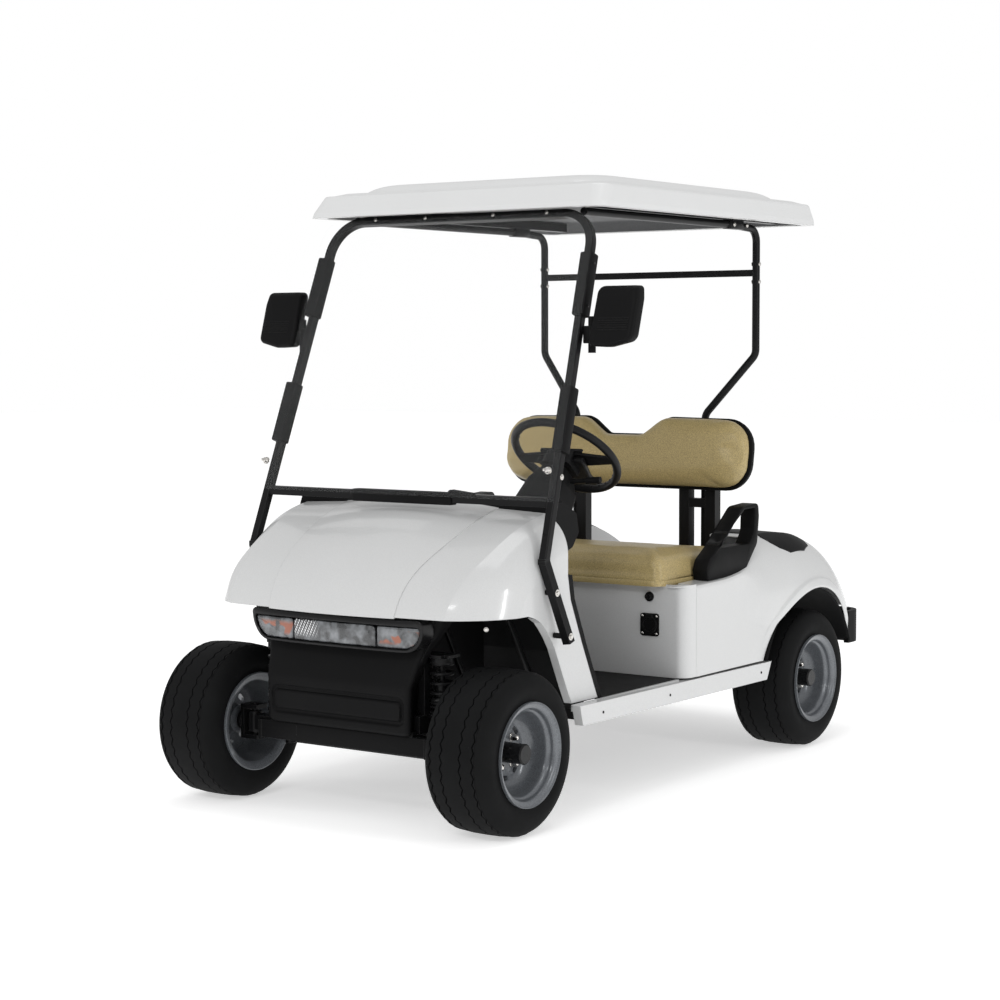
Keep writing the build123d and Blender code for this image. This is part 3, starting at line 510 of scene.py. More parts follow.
def oblong(low_u, high_u, low_v, high_v, low_r, high_r):
    """Corners of a rectangle, with a radius for its low and its high edge."""
    return ((low_u, low_v, low_r), (high_u, low_v, low_r),
            (high_u, high_v, high_r), (low_u, high_v, high_r))


def refined(points, reach=12):
    """The same outline with its long edges split."""
    fine = []
    for i, p in enumerate(points):
        ahead = points[(i + 1) % len(points)]
        parts = max(1, int((ahead - p).length // reach))
        fine += [p.lerp(ahead, k / parts) for k in range(parts)]
    return fine


def inset(points, depth):
    """Outline moved inwards along the normals of its points."""
    n = len(points)
    area = sum(points[i].x * points[(i + 1) % n].y - points[(i + 1) % n].x * points[i].y
               for i in range(n))
    sign = 1 if area > 0 else -1
    moved = []
    for i, p in enumerate(points):
        ahead = points[(i + 1) % n] - points[i - 1]
        normal = Vector((-ahead.y, ahead.x)).normalized() * sign
        moved.append(p + normal * depth)
    return moved


def stacked(rings, place, caps=True):
    """Skin through outlines (outline, depth), placed by place(u, v, depth)."""
    verts = [place(p.x, p.y, depth) for outline, depth in rings for p in outline]
    return verts, grid(len(rings), len(rings[0][0]), caps=caps)


def pillow(outline, low, high, edge_low, edge_high, place, steps=5):
    """Stuffed block: outline rings rounded over at both faces."""
    angles = [pi / 2 * k / steps for k in range(steps + 1)]
    rings = [(inset(outline, edge_low * (1 - sin(a))),
              low + edge_low * (1 - cos(a))) for a in angles]
    rings += [(inset(outline, edge_high * (1 - cos(a))),
               high - edge_high * (1 - sin(a))) for a in angles]
    return stacked(rings, place)


CLOTH = {"quality": 6, "mass": 0.3, "tension_stiffness": 40, "compression_stiffness": 40,
         "bending_stiffness": 2, "use_pressure": True, "uniform_pressure_force": 4.0}
LAST_FRAME = 20


def blown_up(pad, start, held, cap, sealed):
    """Cloth simulation with air pressure inside, its result kept on the mesh."""
    group = pad.vertex_groups.new(name="held")
    group.add([i for i, p in enumerate(start) if held(p)], 1.0, "REPLACE")
    cloth = pad.modifiers.new("cloth", "CLOTH")
    for key, value in CLOTH.items():
        setattr(cloth.settings, key, value)
    cloth.settings.vertex_group_mass = group.name
    cloth.settings.effector_weights.gravity = 0
    cloth.point_cache.frame_start = 1
    cloth.point_cache.frame_end = LAST_FRAME
    for number in range(1, LAST_FRAME + 1):
        bpy.context.scene.frame_set(number)
    blown = evaluated_copy(pad)
    pad.modifiers.remove(cloth)
    bpy.context.scene.frame_set(1)
    for v, before in zip(blown.vertices, start):
        move = v.co - before
        if move.length > cap:
            move = move * (cap / move.length)
        v.co = sealed(before + move)
    pad.data = blown
    pad.vertex_groups.clear()


def make_pad(name, node, body, form, held, cap, sealed):
    """Stuffed vinyl cover in place of a node, blown up and then smoothed."""
    pad = new_object(name, *form)
    shaped(pad, "REMESH", mode="VOXEL", voxel_size=0.0085)
    start = [v.co.copy() for v in pad.data.vertices]
    blown_up(pad, start, held, cap, sealed)
    shaped(pad, "SMOOTH", factor=0.5, iterations=8)
    shaped(pad, "SUBSURF", levels=1, render_levels=1)
    pad.data.materials.clear()
    pad.data.materials.append(VINYL)
    pad.data.polygons.foreach_set("use_smooth", [True] * len(pad.data.polygons))
    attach(pad, body)
    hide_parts(node)


# ---- bench
SEAT_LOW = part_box("seat_cushion")[0]
BOARD_LOW, BOARD_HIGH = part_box("seat_base")
SEAT_EDGE = 0.4915
BACK_LEAN = radians(9)
BACK_MIDDLE = (1448, 980)
BACK_NORMAL = Vector((0, cos(BACK_LEAN), -sin(BACK_LEAN)))
PAD_GRID = 25


def keep_seat(p):
    """Cushion rests on its board and hangs a little past the board's edges."""
    on_board = abs(p.x) < BOARD_HIGH.x + 0.001 and p.y > BOARD_LOW.y - 0.001
    floor = SEAT_LOW.z + 0.0002 if on_board else SEAT_LOW.z - 0.0095
    return Vector((max(-SEAT_EDGE, min(SEAT_EDGE, p.x)), p.y, max(p.z, floor)))


def seat_form():
    """Cushion before it is blown up, its top sloping down to the back."""
    outline = refined(rounded_outline(oblong(-489, 489, 858, 1321, 44, 40)), PAD_GRID)
    verts, faces = pillow(outline, 602.5, 704, 6, 44, mm, 7)
    for v in verts:
        back = smooth_step((v.y - mm(0, 950, 0).y) / 0.38)
        v.z -= 0.021 * back * max(v.z - 0.612, 0) / 0.092
    return [keep_seat(v) for v in verts], faces


def back_place(u, v, depth):
    """Backrest coordinates, across, up and forward, to the leaning pad."""
    c, s = cos(BACK_LEAN), sin(BACK_LEAN)
    return mm(u, BACK_MIDDLE[0] - depth * c + v * s, BACK_MIDDLE[1] + depth * s + v * c)


def back_depth(p):
    """How far a point lies behind the backrest's middle plane."""
    return (p - mm(0, *BACK_MIDDLE)).dot(BACK_NORMAL)


def keep_back(p):
    """Backrest pad stays ahead of its shell."""
    extra = back_depth(p) - 0.0049
    return p - BACK_NORMAL * extra if extra > 0 else p


BACK_CORNERS = ((-473, -111, 84), (473, -111, 84), (473, 113, 92), (152, 118, 70),
                (74, 59, 44), (-74, 59, 44), (-152, 118, 70), (-473, 113, 92))
BACK_OUTLINE = refined(rounded_outline(BACK_CORNERS), PAD_GRID)


def make_back_shell():
    """Black moulded tray behind the backrest pad."""
    rings = [(inset(BACK_OUTLINE, step), depth)
             for step, depth in ((-3.5, -5.4), (-6, -7), (-6.5, -12), (-5, -22),
                                 (-1, -27.5), (5, -30))]
    Shape().stack(rings, back_place).piece("backrest_shell", PLASTIC, "chassis",
                                           ("seat_back_shell",), sharp=50)


def make_cushion_skirt():
    """Vinyl drawn down over the edge of the seat board."""
    corners = oblong(-489.5, 489.5, 857, 1322, 44, 40)
    outline = refined(rounded_outline(corners), PAD_GRID)
    rings = [(inset(outline, 4.4), 620), (inset(outline, 4.4), 602.6),
             (inset(outline, 1), 602.6), (outline, 605), (outline, 616),
             (inset(outline, 2.5), 620)]
    Shape().stack(rings, mm, caps=False).piece("cushion_skirt", VINYL, "seat_bottom",
                                               sharp=50)


make_back_shell()
make_cushion_skirt()


# ---- rims
# Outboard face of a rim, lip to hub, then its back: (outward, radius)
RIM_FACE = ((109, 145.2), (110, 144.2), (109.7, 143), (107.4, 141.8), (104.8, 140),
            (103.4, 137.2), (102.6, 133.4), (101.2, 130), (98.4, 127.2), (94, 125.4),
            (89, 124.8), (85.5, 124), (83, 121.8), (81.6, 119), (79, 116.8),
            (74, 115.6), (66, 115), (56, 114), (46, 111.8), (36, 107.4), (28, 101.4),
            (22.6, 94.6), (19.4, 88), (18, 82), (18, 30), (14, 16.2))
RIM_BACK = ((-38, 16.2), (-34, 42), (8, 46), (8, 92), (5, 101), (-2, 106.5),
            (-20, 111.5), (-60, 117.5), (-90, 119.6), (-98, 121.4), (-103.5, 127),
            (-106.4, 134), (-108.2, 140), (-109.6, 143.4), (-108.6, 145.8),
            (-101, 145.8), (-100, 126.8), (94, 127.2), (97.4, 129.2), (99.6, 132.6),
            (100.4, 137.6), (101, 145.8))


def make_rim_skin(name, hub, out):
    """Deep rim with rolled lip, ridged barrel and slotted disc."""
    profile = [(x / 1000, r / 1000) for x, r in RIM_FACE + RIM_BACK]
    rim = Shape().put(*lathe(profile, hub, out, 96, closed=True)).piece(
        "rim_skin_" + name, RIM, "wheel_" + name, ("rim_" + name,), sharp=30)
    slot = rounded_outline(oblong(-15, 15, 66.5, 81.5, 7.4, 7.4), 5)
    cutter = Shape()
    for a in turns(8):
        away = Vector((0, cos(a), sin(a)))
        ahead = Vector((0, -sin(a), cos(a)))
        cutter.stack([(slot, -6), (slot, 40)], lambda u, v, depth: hub + (
            ahead * u + away * v + out * depth) / 1000)
    tool = new_object("slots", cutter.verts, cutter.faces)
    mended(tool)
    mended(rim)
    shaped(rim, "BOOLEAN", operation="DIFFERENCE", object=tool)
    bpy.data.objects.remove(tool)


for wheel, station, side in WHEELS:
    make_rim_skin(wheel, mm(side * HALF_TRACK, station, WHEEL_R), Vector((side, 0, 0)))
make_pad("seat_pad", "seat_cushion", "seat_bottom", seat_form(),
         lambda p: p.z < SEAT_LOW.z + 0.01, 0.011, keep_seat)
make_pad("backrest_pad", "seat_back", "chassis",
         pillow(BACK_OUTLINE, -4.9, 52, 5, 33, back_place, 7),
         lambda p: back_depth(p) > -0.004, 0.012, keep_back)


# ---- steering wheel
def make_wheel_pad():
    """Wide lower spoke of the steering wheel, a moulded trapezoid."""
    tilt = radians(40)
    centre = mm(295, 630, 1008)
    up = Vector((0, -cos(tilt), sin(tilt)))
    out = Vector((0, sin(tilt), cos(tilt)))
    outline = refined(rounded_outline(((-84, 22, 8), (84, 22, 8), (58, -128, 16),
                                       (-58, -128, 16))), 10)

    def place(u, v, depth):
        drop = depth - 26 + 22 * smooth_step((-v - 60) / 70)
        return centre + (Vector((u, 0, 0)) + up * v + out * drop) / 1000

    rings = [(inset(outline, 4), -9), (outline, -6), (outline, 5),
             (inset(outline, 2), 8), (inset(outline, 5), 9)]
    Shape().stack(rings, place).piece("wheel_centre_pad", GRIP, "steering_wheel")


make_wheel_pad()


# ---- windshield hardware and frame bolts
POST_BEND, POST_TOP = Vector((532, 160, 740)), Vector((478, 508, 1722))
POST_FOOT = Vector((566, 234, 508))


def on_post(z, side=1):
    """Centre of a windshield post at a height, in millimetres."""
    share = (z - POST_BEND.z) / (POST_TOP.z - POST_BEND.z)
    p = POST_BEND + (POST_TOP - POST_BEND) * share
    return Vector((side * p.x, p.y, p.z))


def make_frame_bolts():
    """Bolts of posts and canopy, and wing bolts at the foot of the clear sheet."""
    bright, black = Shape(), Shape()
    ahead = Vector((0, -0.94, 0.33))
    turn = along_matrix((0, 0, 1), (1, 0, 0))
    for side in SIDES:
        out = Vector((side, 0, 0))
        for share in (0.38, 0.92):
            p = POST_BEND + (POST_FOOT - POST_BEND) * share
            bolt(bright, mm(side * (p.x + 12.6), p.y, p.z), out, 0.0068, 0.0105)
        p = on_post(985, side)
        front = mm(p.x, p.y - 44, p.z + 6)
        bright.put(*lathe([(0, 0.011), (0.003, 0.011), (0.004, 0.008), (0.012, 0.007),
                           (0.014, 0.0045)], front, ahead, 20))
        bright.block(front + ahead * 0.009, (0.026, 0.004, 0.009), 0.0015, turn)
        bolt(bright, mm(side * (abs(p.x) + 12.6), p.y + 4, p.z - 14), out, 0.0052, 0.0085)
        for z in (1452, 1575):
            q = on_post(z, side)
            dome(black, mm(q.x + side * 23.5, q.y - 4, q.z), out, 0.005)
        for x in (318, 126):
            bolt(bright, mm(side * x, 494, 1728), ahead, 0.0042, 0.0065)
        for y in (1405, 1490):
            bolt(bright, mm(side * 436.2, y, 1729), out, 0.0052, 0.0078)
        for z in (1548, 1606):
            for reach in (1, -1):
                bolt(bright, mm(side * (421 + reach * 12.6), 1581, z), out * reach,
                     0.0045, 0.0072)
    bright.piece("bright_bolts", CHROME, "chassis")
    black.piece("black_bolts", SATIN, "chassis")


# Heights of the sleeves on each post
SLEEVES = ((1, ((1038, 1221), (1422, 1603))), (-1, ((1045, 1224), (1428, 1609))))


def make_sheet_fittings():
    """Edge sleeve and fold latch on the cross bar, and the sleeves on the posts."""
    dark = Shape()
    dark.block(mm(-2, 217, 899), (0.364, 0.033, 0.037), 0.004)
    knob = refined(rounded_outline(((166, 908, 4), (262, 908, 4), (256, 919, 8),
                                    (176, 927, 10))), 6)
    small = inset(knob, 2)
    dark.stack([(small, 10), (knob, 8), (knob, -10), (small, -12)],
               lambda u, v, depth: mm(u, 209 + depth, v))
    dark.piece("cross_bar_sleeve", PLASTIC, "chassis")
    sleeves = Shape()
    for side, spans in SLEEVES:
        for z0, z1 in spans:
            a, b = on_post(z0, side), on_post(z1, side)
            mid = (a + b) / 2
            sleeves.block(mm(mid.x + side * 3.5, mid.y - 4, mid.z),
                          (0.040, 0.041, (b - a).length / 1000), 0.005,
                          along_matrix(b - a, (1, 0, 0)))
    sleeves.piece("post_sleeves", PLASTIC, "chassis", ("windshield_clips",))


make_frame_bolts()
make_sheet_fittings()


# ---- nose: shield, lamp bar and lenses
# Shield rows from its foot up: z, front half width, front y, back half width
SHIELD = ((257, 246, -93, 234), (261, 252, -99, 236), (268, 257, -103, 238),
          (392, 259, -104, 243), (402, 261, -101, 247), (450, 268, -84, 268),
          (500, 281, -68, 298), (545, 300, -64, 328), (586, 318, -62, 352))
PAD_X, PAD_Z, PAD_HIGH, PAD_R = 243, 326, 42, 26


def pad_relief(x, z):
    """Recess and raised pad in the shield's face, in millimetres of depth."""
    dx = abs(x) - (PAD_X - PAD_R)
    dz = abs(z - PAD_Z) - (PAD_HIGH - PAD_R)
    far = hypot(max(dx, 0), max(dz, 0)) + min(max(dx, dz), 0) - PAD_R
    if far > 0:
        return 0.0
    if far > -4:
        return 8 * smooth_step(-far / 4)
    if far > -13:
        return 8.0
    return 8.0 - 9.5 * smooth_step((-far - 13) / 5)


def shield_row(z):
    """Row of the shield at a height, on straight lines between its rows."""
    for low_row, high_row in zip(SHIELD, SHIELD[1:]):
        if z <= high_row[0]:
            t = (z - low_row[0]) / (high_row[0] - low_row[0])
            return [a + (b - a) * t for a, b in zip(low_row, high_row)]
    return list(SHIELD[-1])


def make_shield():
    """Black nose moulding: leaning face, swept cheeks and framed pad."""
    heights = {257, 259, 261, 264, 268, 274, 586}
    heights |= {280 + 3 * k for k in range(35)} | set(range(392, 588, 8))
    verts = []
    across, radius = 200, 13
    for z in sorted(heights):
        _, wide, face, back_wide = shield_row(z)
        rear = -44 if z < 500 else -44 + (z - 500) * 0.35
        row = [(-back_wide, rear), (-(back_wide + (wide - back_wide) * 0.6),
                                    rear + (face - rear) * 0.6)]
        for k in range(5):
            a = pi / 2 * k / 4
            row.append((-(wide - radius + radius * cos(a)),
                        face + radius - radius * sin(a)))
        front = [(-(wide - radius) + 2 * (wide - radius) * k / across, face)
                 for k in range(1, across)]
        row = row + front + [(-x, y) for x, y in reversed(row)]
        for x, y in row:
            relief = pad_relief(x, z) if abs(y - face) < 0.5 else 0
            verts.append(mm(x, y + relief, z))
    faces = grid(len(heights), len(verts) // len(heights), ring=False)
    shield = Shape().put(verts, faces).piece("nose_shield", PLASTIC, "chassis",
                                             ("front_shield",), sharp=60)
    shaped(shield, "SOLIDIFY", thickness=0.0035, offset=-1)


make_shield()


def front_place(u, v, depth):
    """Face of the lamp bar, its ends and lower corners swept back."""
    end = min(abs(u) / 304, 1.0)
    return mm(u, depth + 8 * end ** 3 + 14 * end ** 4 * max(585 - v, 0) / 93, v)


def lens_rings(corners):
    """Rings of a lens with a rounded front edge."""
    outline = refined(rounded_outline(corners))
    return [(outline, -104.2), (outline, -110), (inset(outline, 2), -112.5),
            (inset(outline, 6), -113.5)]


def make_lamp_bar():
    """Rounded bezel, dark back plate and three separate lenses."""
    outer, inner = [refined(rounded_outline(((wide, top, r), (wide, foot, low_r),
                                             (-wide, foot, low_r), (-wide, top, r))))
                    for wide, top, r, foot, low_r in ((309, 586, 15, 492.5, 64),
                                                      (298, 566, 9, 501, 55))]
    rim = Shape()
    rings = [(outer, -62), (outer, -113), (inset(outer, 1.2), -116.5),
             (inset(outer, 3.5), -118), (inset(inner, -2), -118), (inner, -116),
             (inner, -104)]
    rim.stack(rings, front_place, caps=False)
    rim.stack([(inset(inner, -3), -104), (inset(inner, -3), -101)], front_place)
    rim.piece("lamp_bezel", SATIN, "chassis", ("light_bar",), sharp=40)
    head = lens_rings(((-147, 563.5, 7), (147, 563.5, 15), (147, 503, 5), (-147, 503, 7)))
    Shape().stack(head, front_place).piece("head_lens", LENS, "chassis", ("head_lamp",),
                                           sharp=50)
    turn = Shape()
    for side in SIDES:
        near, far = side * 153, side * 295
        turn.stack(lens_rings(((near, 563.5, 7), (far, 563.5, 9), (far, 503.5, 52),
                               (near, 503.5, 7))), front_place)
    turn.piece("turn_lenses", AMBER, "chassis", ("turn_lamps",), sharp=50)


def make_front_beam():
    """Plate beam across the nose, tucked behind the shield's foot."""
    beam = Shape()
    beam.block(mm(0, -76, 229), (0.62, 0.02, 0.052), 0.002)
    for side in SIDES:
        beam.block(mm(side * 235, -76, 262), (0.042, 0.018, 0.014), 0.001)
        beam.block(mm(side * 302, -75, 226), (0.012, 0.023, 0.058), 0.002)
    beam.block(mm(-163, -86.6, 236), (0.002, 0.002, 0.03), 0.0005, segments=1)
    beam.piece("front_beam", PLASTIC, "chassis", ("front_cross_beam",))


make_lamp_bar()
make_front_beam()


# ---- hip restraints
# Side outline (station, z, radius) and the hand hole in it
LOOP = ((1052, 608, 3), (1043, 640, 10), (1058, 672, 26), (1169, 743, 60),
        (1268, 826, 42), (1374, 833, 17), (1380, 790, 60), (1368, 702, 34),
        (1280, 612, 3))
LOOP_HOLE = ((1112, 706, 5), (1180, 752, 60), (1284, 816, 7), (1352, 818, 6),
             (1348, 742, 34), (1316, 704, 22))

# Side faces of a loop: (distance from the middle, inset of the edge)
LOOP_INNER, LOOP_OUTER = (493, 2.2), (547.4, 3.4)


def filled_between(outer, hole, place):
    """Flat face with a hole, as triangles."""
    work = bmesh.new()
    verts = [work.verts.new(place(p)) for p in outer + hole]
    split, total = len(outer), len(outer) + len(hole)
    for start, end in ((0, split), (split, total)):
        for i in range(start, end):
            work.edges.new((verts[i], verts[i + 1 if i + 1 < end else start]))
    bmesh.ops.triangle_fill(work, edges=list(work.edges), use_beauty=True)
    return unpacked(work)


def make_restraints():
    """Wide moulded loops at the ends of the bench."""
    loops = Shape()
    outer, hole = rounded_outline(LOOP), rounded_outline(LOOP_HOLE)
    for side in SIDES:
        for outline, sign in ((outer, 1), (hole, -1)):
            rings = [(inset(outline, sign * step), depth)
                     for depth, step in (LOOP_INNER, (496, 0), (543, 0), (546, 1.0),
                                         LOOP_OUTER)]
            loops.stack(rings, lambda u, v, d: mm(side * d, u, v), caps=False)
        for depth, step in (LOOP_INNER, LOOP_OUTER):
            loops.put(*filled_between(inset(outer, step), inset(hole, -step),
                                      lambda p: mm(side * depth, p.x, p.y)))
    mended(loops.piece("restraint_loops", PLASTIC, "chassis", ("hip_restraints",),
                       sharp=40), merge=0.0001)


make_restraints()


# ---- rear moulding
# Upright sections of the rear quarter: station, wall x, wall z, bulge x,
# shoulder x and z, top x and z
QUARTER = ((1300, 560, 480, 561, 556, 600, 530, 640),
           (1372, 562, 486, 563, 555, 628, 520, 676),
           (1416, 565, 492, 567, 552, 648, 506, 705),
           (1480, 569, 495, 572, 548, 662, 490, 720),
           (1600, 577, 500, 580, 552, 660, 486, 717),
           (1750, 583, 490, 583, 556, 630, 488, 692),
           (1880, 580, 455, 574, 550, 578, 488, 648),
           (1990, 568, 425, 558, 532, 515, 478, 588),
           (2075, 540, 420, 530, 500, 458, 445, 503))
SIDE_EDGE = ((954, 604), (1140, 609), (1240, 620), (1300, 632), (1345, 654),
             (1400, 690))
ARCH_R, ARCH_Z = 322.0, 211
SKIN_FOOT, SKIN_END = 321, 2075
# Flat wall beside the bench, and the stretch where it turns into the quarter
BENCH_X, BENCH_R, TURN_START, TURN_RUN = 560, 9, 1235, 175
# Where the foot climbs to the bumper, how far, and over what length
CLIMB_START, CLIMB_HIGH, CLIMB_RUN = 1985, 107, 22
# Bag well: edge of its opening, both faces of a side wall, its ends and its foot
WELL_X, WELL_WALL, WELL_ENDS, WELL_FOOT = 331, (330.2, 333.2), (1440, 2060), 420
# Steps outward from the arch's edge, over its rolled lip
LIP_STEPS = (0, 1.5, 4, 8, 13, 18, 23, 26, 28, 30, 32, 34, 37, 42)


def along_rows(rows, y):
    """Row of a table at station y, on a smooth curve through its rows."""
    if y <= rows[0][0]:
        return list(rows[0][1:])
    if y >= rows[-1][0]:
        return list(rows[-1][1:])
    i = max(k for k, row in enumerate(rows) if row[0] <= y)
    i = min(i, len(rows) - 2)
    a, b = rows[max(i - 1, 0)], rows[i]
    c, d = rows[i + 1], rows[min(i + 2, len(rows) - 1)]
    span_y = c[0] - b[0]
    t = (y - b[0]) / span_y
    values = []
    for k in range(1, len(b)):
        m0 = (c[k] - a[k]) / (c[0] - a[0]) * span_y
        m1 = (d[k] - b[k]) / (d[0] - b[0]) * span_y
        values.append((2 * t ** 3 - 3 * t ** 2 + 1) * b[k] + (t ** 3 - 2 * t ** 2 + t) * m0
                      + (-2 * t ** 3 + 3 * t ** 2) * c[k] + (t ** 3 - t ** 2) * m1)
    return values


def arc_through(a, b, c, steps):
    """Points of the circular arc a, b, c."""
    (ax, ay), (bx, by), (cx, cy) = a, b, c
    d = 2 * (ax * (by - cy) + bx * (cy - ay) + cx * (ay - by))
    ux = ((ax * ax + ay * ay) * (by - cy) + (bx * bx + by * by) * (cy - ay)
          + (cx * cx + cy * cy) * (ay - by)) / d
    uy = ((ax * ax + ay * ay) * (cx - bx) + (bx * bx + by * by) * (ax - cx)
          + (cx * cx + cy * cy) * (bx - ax)) / d
    start = atan2(ay - uy, ax - ux)
    end = atan2(cy - uy, cx - ux)
    radius = hypot(ax - ux, ay - uy)
    return [(ux + radius * cos(start + (end - start) * k / steps),
             uy + radius * sin(start + (end - start) * k / steps))
            for k in range(steps + 1)]


def upright_section(y):
    """Wall and rounded shoulder at one station, from its foot to the top."""
    out_x, mid_z, mid_x, sx, sz, tx, tz = along_rows(QUARTER, max(y, QUARTER[0][0]))
    knee = mid_z - 60
    full = [(out_x + (mid_x - out_x) * k / 24, SKIN_FOOT + (knee - SKIN_FOOT) * k / 24)
            for k in range(24)]
    full += arc_through((mid_x, knee), (sx, sz), (tx, tz), 36)
    edge = along_rows(SIDE_EDGE, y)[0] - BENCH_R
    flat = [(BENCH_X, SKIN_FOOT + (edge - SKIN_FOOT) * k / 48) for k in range(49)]
    flat += [(BENCH_X - BENCH_R * (1 - cos(pi / 2 * k / 12)),
              edge + BENCH_R * sin(pi / 2 * k / 12)) for k in range(1, 13)]
    blend = smooth_step((y - TURN_START) / TURN_RUN)
    return [(p[0] + (q[0] - p[0]) * blend, p[1] + (q[1] - p[1]) * blend)
            for p, q in zip(flat, full)]


def arch_height(y, grow):
    """Height of the arch's circle at a station, grown outward; 0 beside it."""
    reach = (ARCH_R + grow) ** 2 - (y - WHEELBASE) ** 2
    return ARCH_Z + sqrt(reach) if reach > 0 else 0.0


def between(a, b, t):
    return a[0] + (b[0] - a[0]) * t, a[1] + (b[1] - a[1]) * t


def arch_lip(y, z):
    """How far the rolled lip stands proud of the wall; it fades out at its foot."""
    far = hypot(y - WHEELBASE, z - ARCH_Z) - ARCH_R
    angle = degrees(atan2(z - ARCH_Z, WHEELBASE - y))
    fade = smooth_step((angle - 19) / 40) * smooth_step((165 - angle) / 12)
    return 7.5 * smooth_step((37 - far) / 9) * fade - 3.0 * smooth_step((4 - far) / 5)


def skin_column(y, side, inner):
    """One upright run of the skin: arch rim, lip, wall, shoulder, top edge."""
    section = upright_section(y)
    foot = SKIN_FOOT + CLIMB_HIGH * smooth_step((y - CLIMB_START) / CLIMB_RUN)
    points = []
    for k, grow in enumerate(LIP_STEPS):
        z = max(foot + 0.4 * k, arch_height(y, grow))
        i = max(n for n, p in enumerate(section[:-1]) if p[1] <= z or n == 0)
        (x0, z0), (x1, z1) = section[i], section[i + 1]
        t = (z - z0) / (z1 - z0) if z1 != z0 else 0
        points.append((x0 + (x1 - x0) * min(max(t, 0), 1), z))
    rest = [points[-1]] + [p for p in section if p[1] > points[-1][1] + 0.5]
    lengths = [0]
    for a, b in zip(rest, rest[1:]):
        lengths.append(lengths[-1] + hypot(b[0] - a[0], b[1] - a[1]))
    steps = 44
    for k in range(1, steps + 1):
        want = lengths[-1] * k / steps
        i = max(n for n, value in enumerate(lengths[:-1]) if value <= want)
        t = (want - lengths[i]) / (lengths[i + 1] - lengths[i])
        points.append(between(rest[i], rest[i + 1], min(t, 1)))
    lifted = [(x + arch_lip(y, z), z) for x, z in points]
    x, z = lifted[-1]
    lifted += [(x + (inner - x) * k / 4, z + 3 * k / 4) for k in range(1, 5)]
    lifted += [(inner, z - 12), (inner, z - 26)]
    return [mm(side * x, y, z) for x, z in lifted]


def make_rear_skin():
    """White rear moulding as a smooth shell, beside the bench and round the well."""
    skin = Shape()
    for side in SIDES:
        for start, end, inner in ((954, 1438, 496), (1438, SKIN_END, WELL_X)):
            count = int((end - start) / 5)
            columns = [skin_column(start + (end - start) * k / count, side, inner)
                       for k in range(count + 1)]
            n = len(columns[0])
            faces = []
            for c in range(count):
                for a in range(c * n, c * n + n - 1):
                    quad = (a, a + n, a + n + 1, a + 1)
                    faces.append(quad if side > 0 else tuple(reversed(quad)))
            skin.put([v for column in columns for v in column], faces)
    piece = skin.piece("rear_skin", BODY, "chassis", ("rear_body",), sharp=40)
    mended(piece, merge=0.00005, outward=False)
    shaped(piece, "SOLIDIFY", thickness=0.003, offset=-1)


def slab(low, high):
    """Plate between two outlines with as many points."""
    n = len(low)
    faces = [tuple(range(n)), tuple(reversed(range(n, 2 * n)))]
    faces += [(i, i + n, (i + 1) % n + n, (i + 1) % n) for i in range(n)]
    return low + high, faces


# Plan of the plate that closes the front corner of the bench
CORNER = ((496, 882), (528, 884), (545, 893), (555, 910), (559, 934), (559, 955),
          (496, 955))


def make_well_walls():
    """Walls of the bag well, the end plates of the skin and its front corners."""
    walls = Shape()
    walls.block(mm(0, 2050, 455), (0.662, 0.02, 0.062), 0.003)
    walls.block(mm(0, 1442, 485), (0.662, 0.008, 0.31), 0.001)
    steps = 60
    for side in SIDES:
        walls.block(mm(side * 430, 1442, 560), (0.2, 0.008, 0.24), 0.001)
        verts, faces = [], []
        for k in range(steps + 1):
            y = WELL_ENDS[0] + (WELL_ENDS[1] - WELL_ENDS[0]) * k / steps
            top = along_rows(QUARTER, y)[6]
            for x in WELL_WALL:
                verts += [mm(side * x, y, WELL_FOOT), mm(side * x, y, top)]
        last = 4 * steps
        for a in range(0, last, 4):
            faces += [(a, a + 4, a + 5, a + 1), (a + 2, a + 3, a + 7, a + 6),
                      (a + 1, a + 5, a + 7, a + 3), (a, a + 2, a + 6, a + 4)]
        faces += [(0, 1, 3, 2), (last, last + 2, last + 3, last + 1)]
        walls.put(verts, faces)
        rear = upright_section(SKIN_END)
        foot = SKIN_FOOT + CLIMB_HIGH
        outline = [p for p in rear if p[1] >= foot]
        outline += [(WELL_X, rear[-1][1] + 3), (WELL_X, foot)]
        walls.put(*slab(*[[mm(side * x, y, z) for x, z in outline]
                          for y in (SKIN_END - 3, SKIN_END)]))
        walls.put(*slab(*[[mm(side * x, y, z) for x, y in CORNER] for z in (603.9, 600)]))
    walls.piece("rear_well_walls", BODY, "chassis", ("rear_body",), sharp=40)


make_rear_skin()
make_well_walls()


# ---- rear arches
def make_arch_liners():
    """Black inner wells over the rear wheels, and small plates behind the nose."""
    liners = Shape()
    steps = 60
    # (distance from the middle, radius), from the skin inward
    rows = ((574, 318.5), (560, 316.5), (345, 316.5))
    for side in SIDES:
        verts = []
        for x, r in rows:
            for k in range(steps + 1):
                a = radians(20 + 140 * k / steps)
                verts.append(mm(side * x, WHEELBASE - r * cos(a),
                                ARCH_Z + r * sin(a)))
        faces = grid(len(rows), steps + 1, ring=False)
        last = (len(rows) - 1) * (steps + 1)
        faces.append(tuple(last + k for k in range(steps + 1)))
        liners.put(verts, faces)
        liners.block(mm(side * 190, 62, 325), (0.13, 0.004, 0.06), 0.001)
    shaped(liners.piece("arch_liners", INSIDE, "chassis"), "SOLIDIFY", thickness=0.002,
           offset=1)


make_arch_liners()


# ---- mirrors
# Station of the housing's face at its foot, and its lean back per unit of height
MIRROR_Y, MIRROR_Z, MIRROR_LEAN = 357, 1345, 0.3
MIRROR = ((545, 1337, 16), (612, 1334, 60), (688, 1352, 24), (688.5, 1470, 60),
          (681, 1508, 15), (549, 1508, 22))


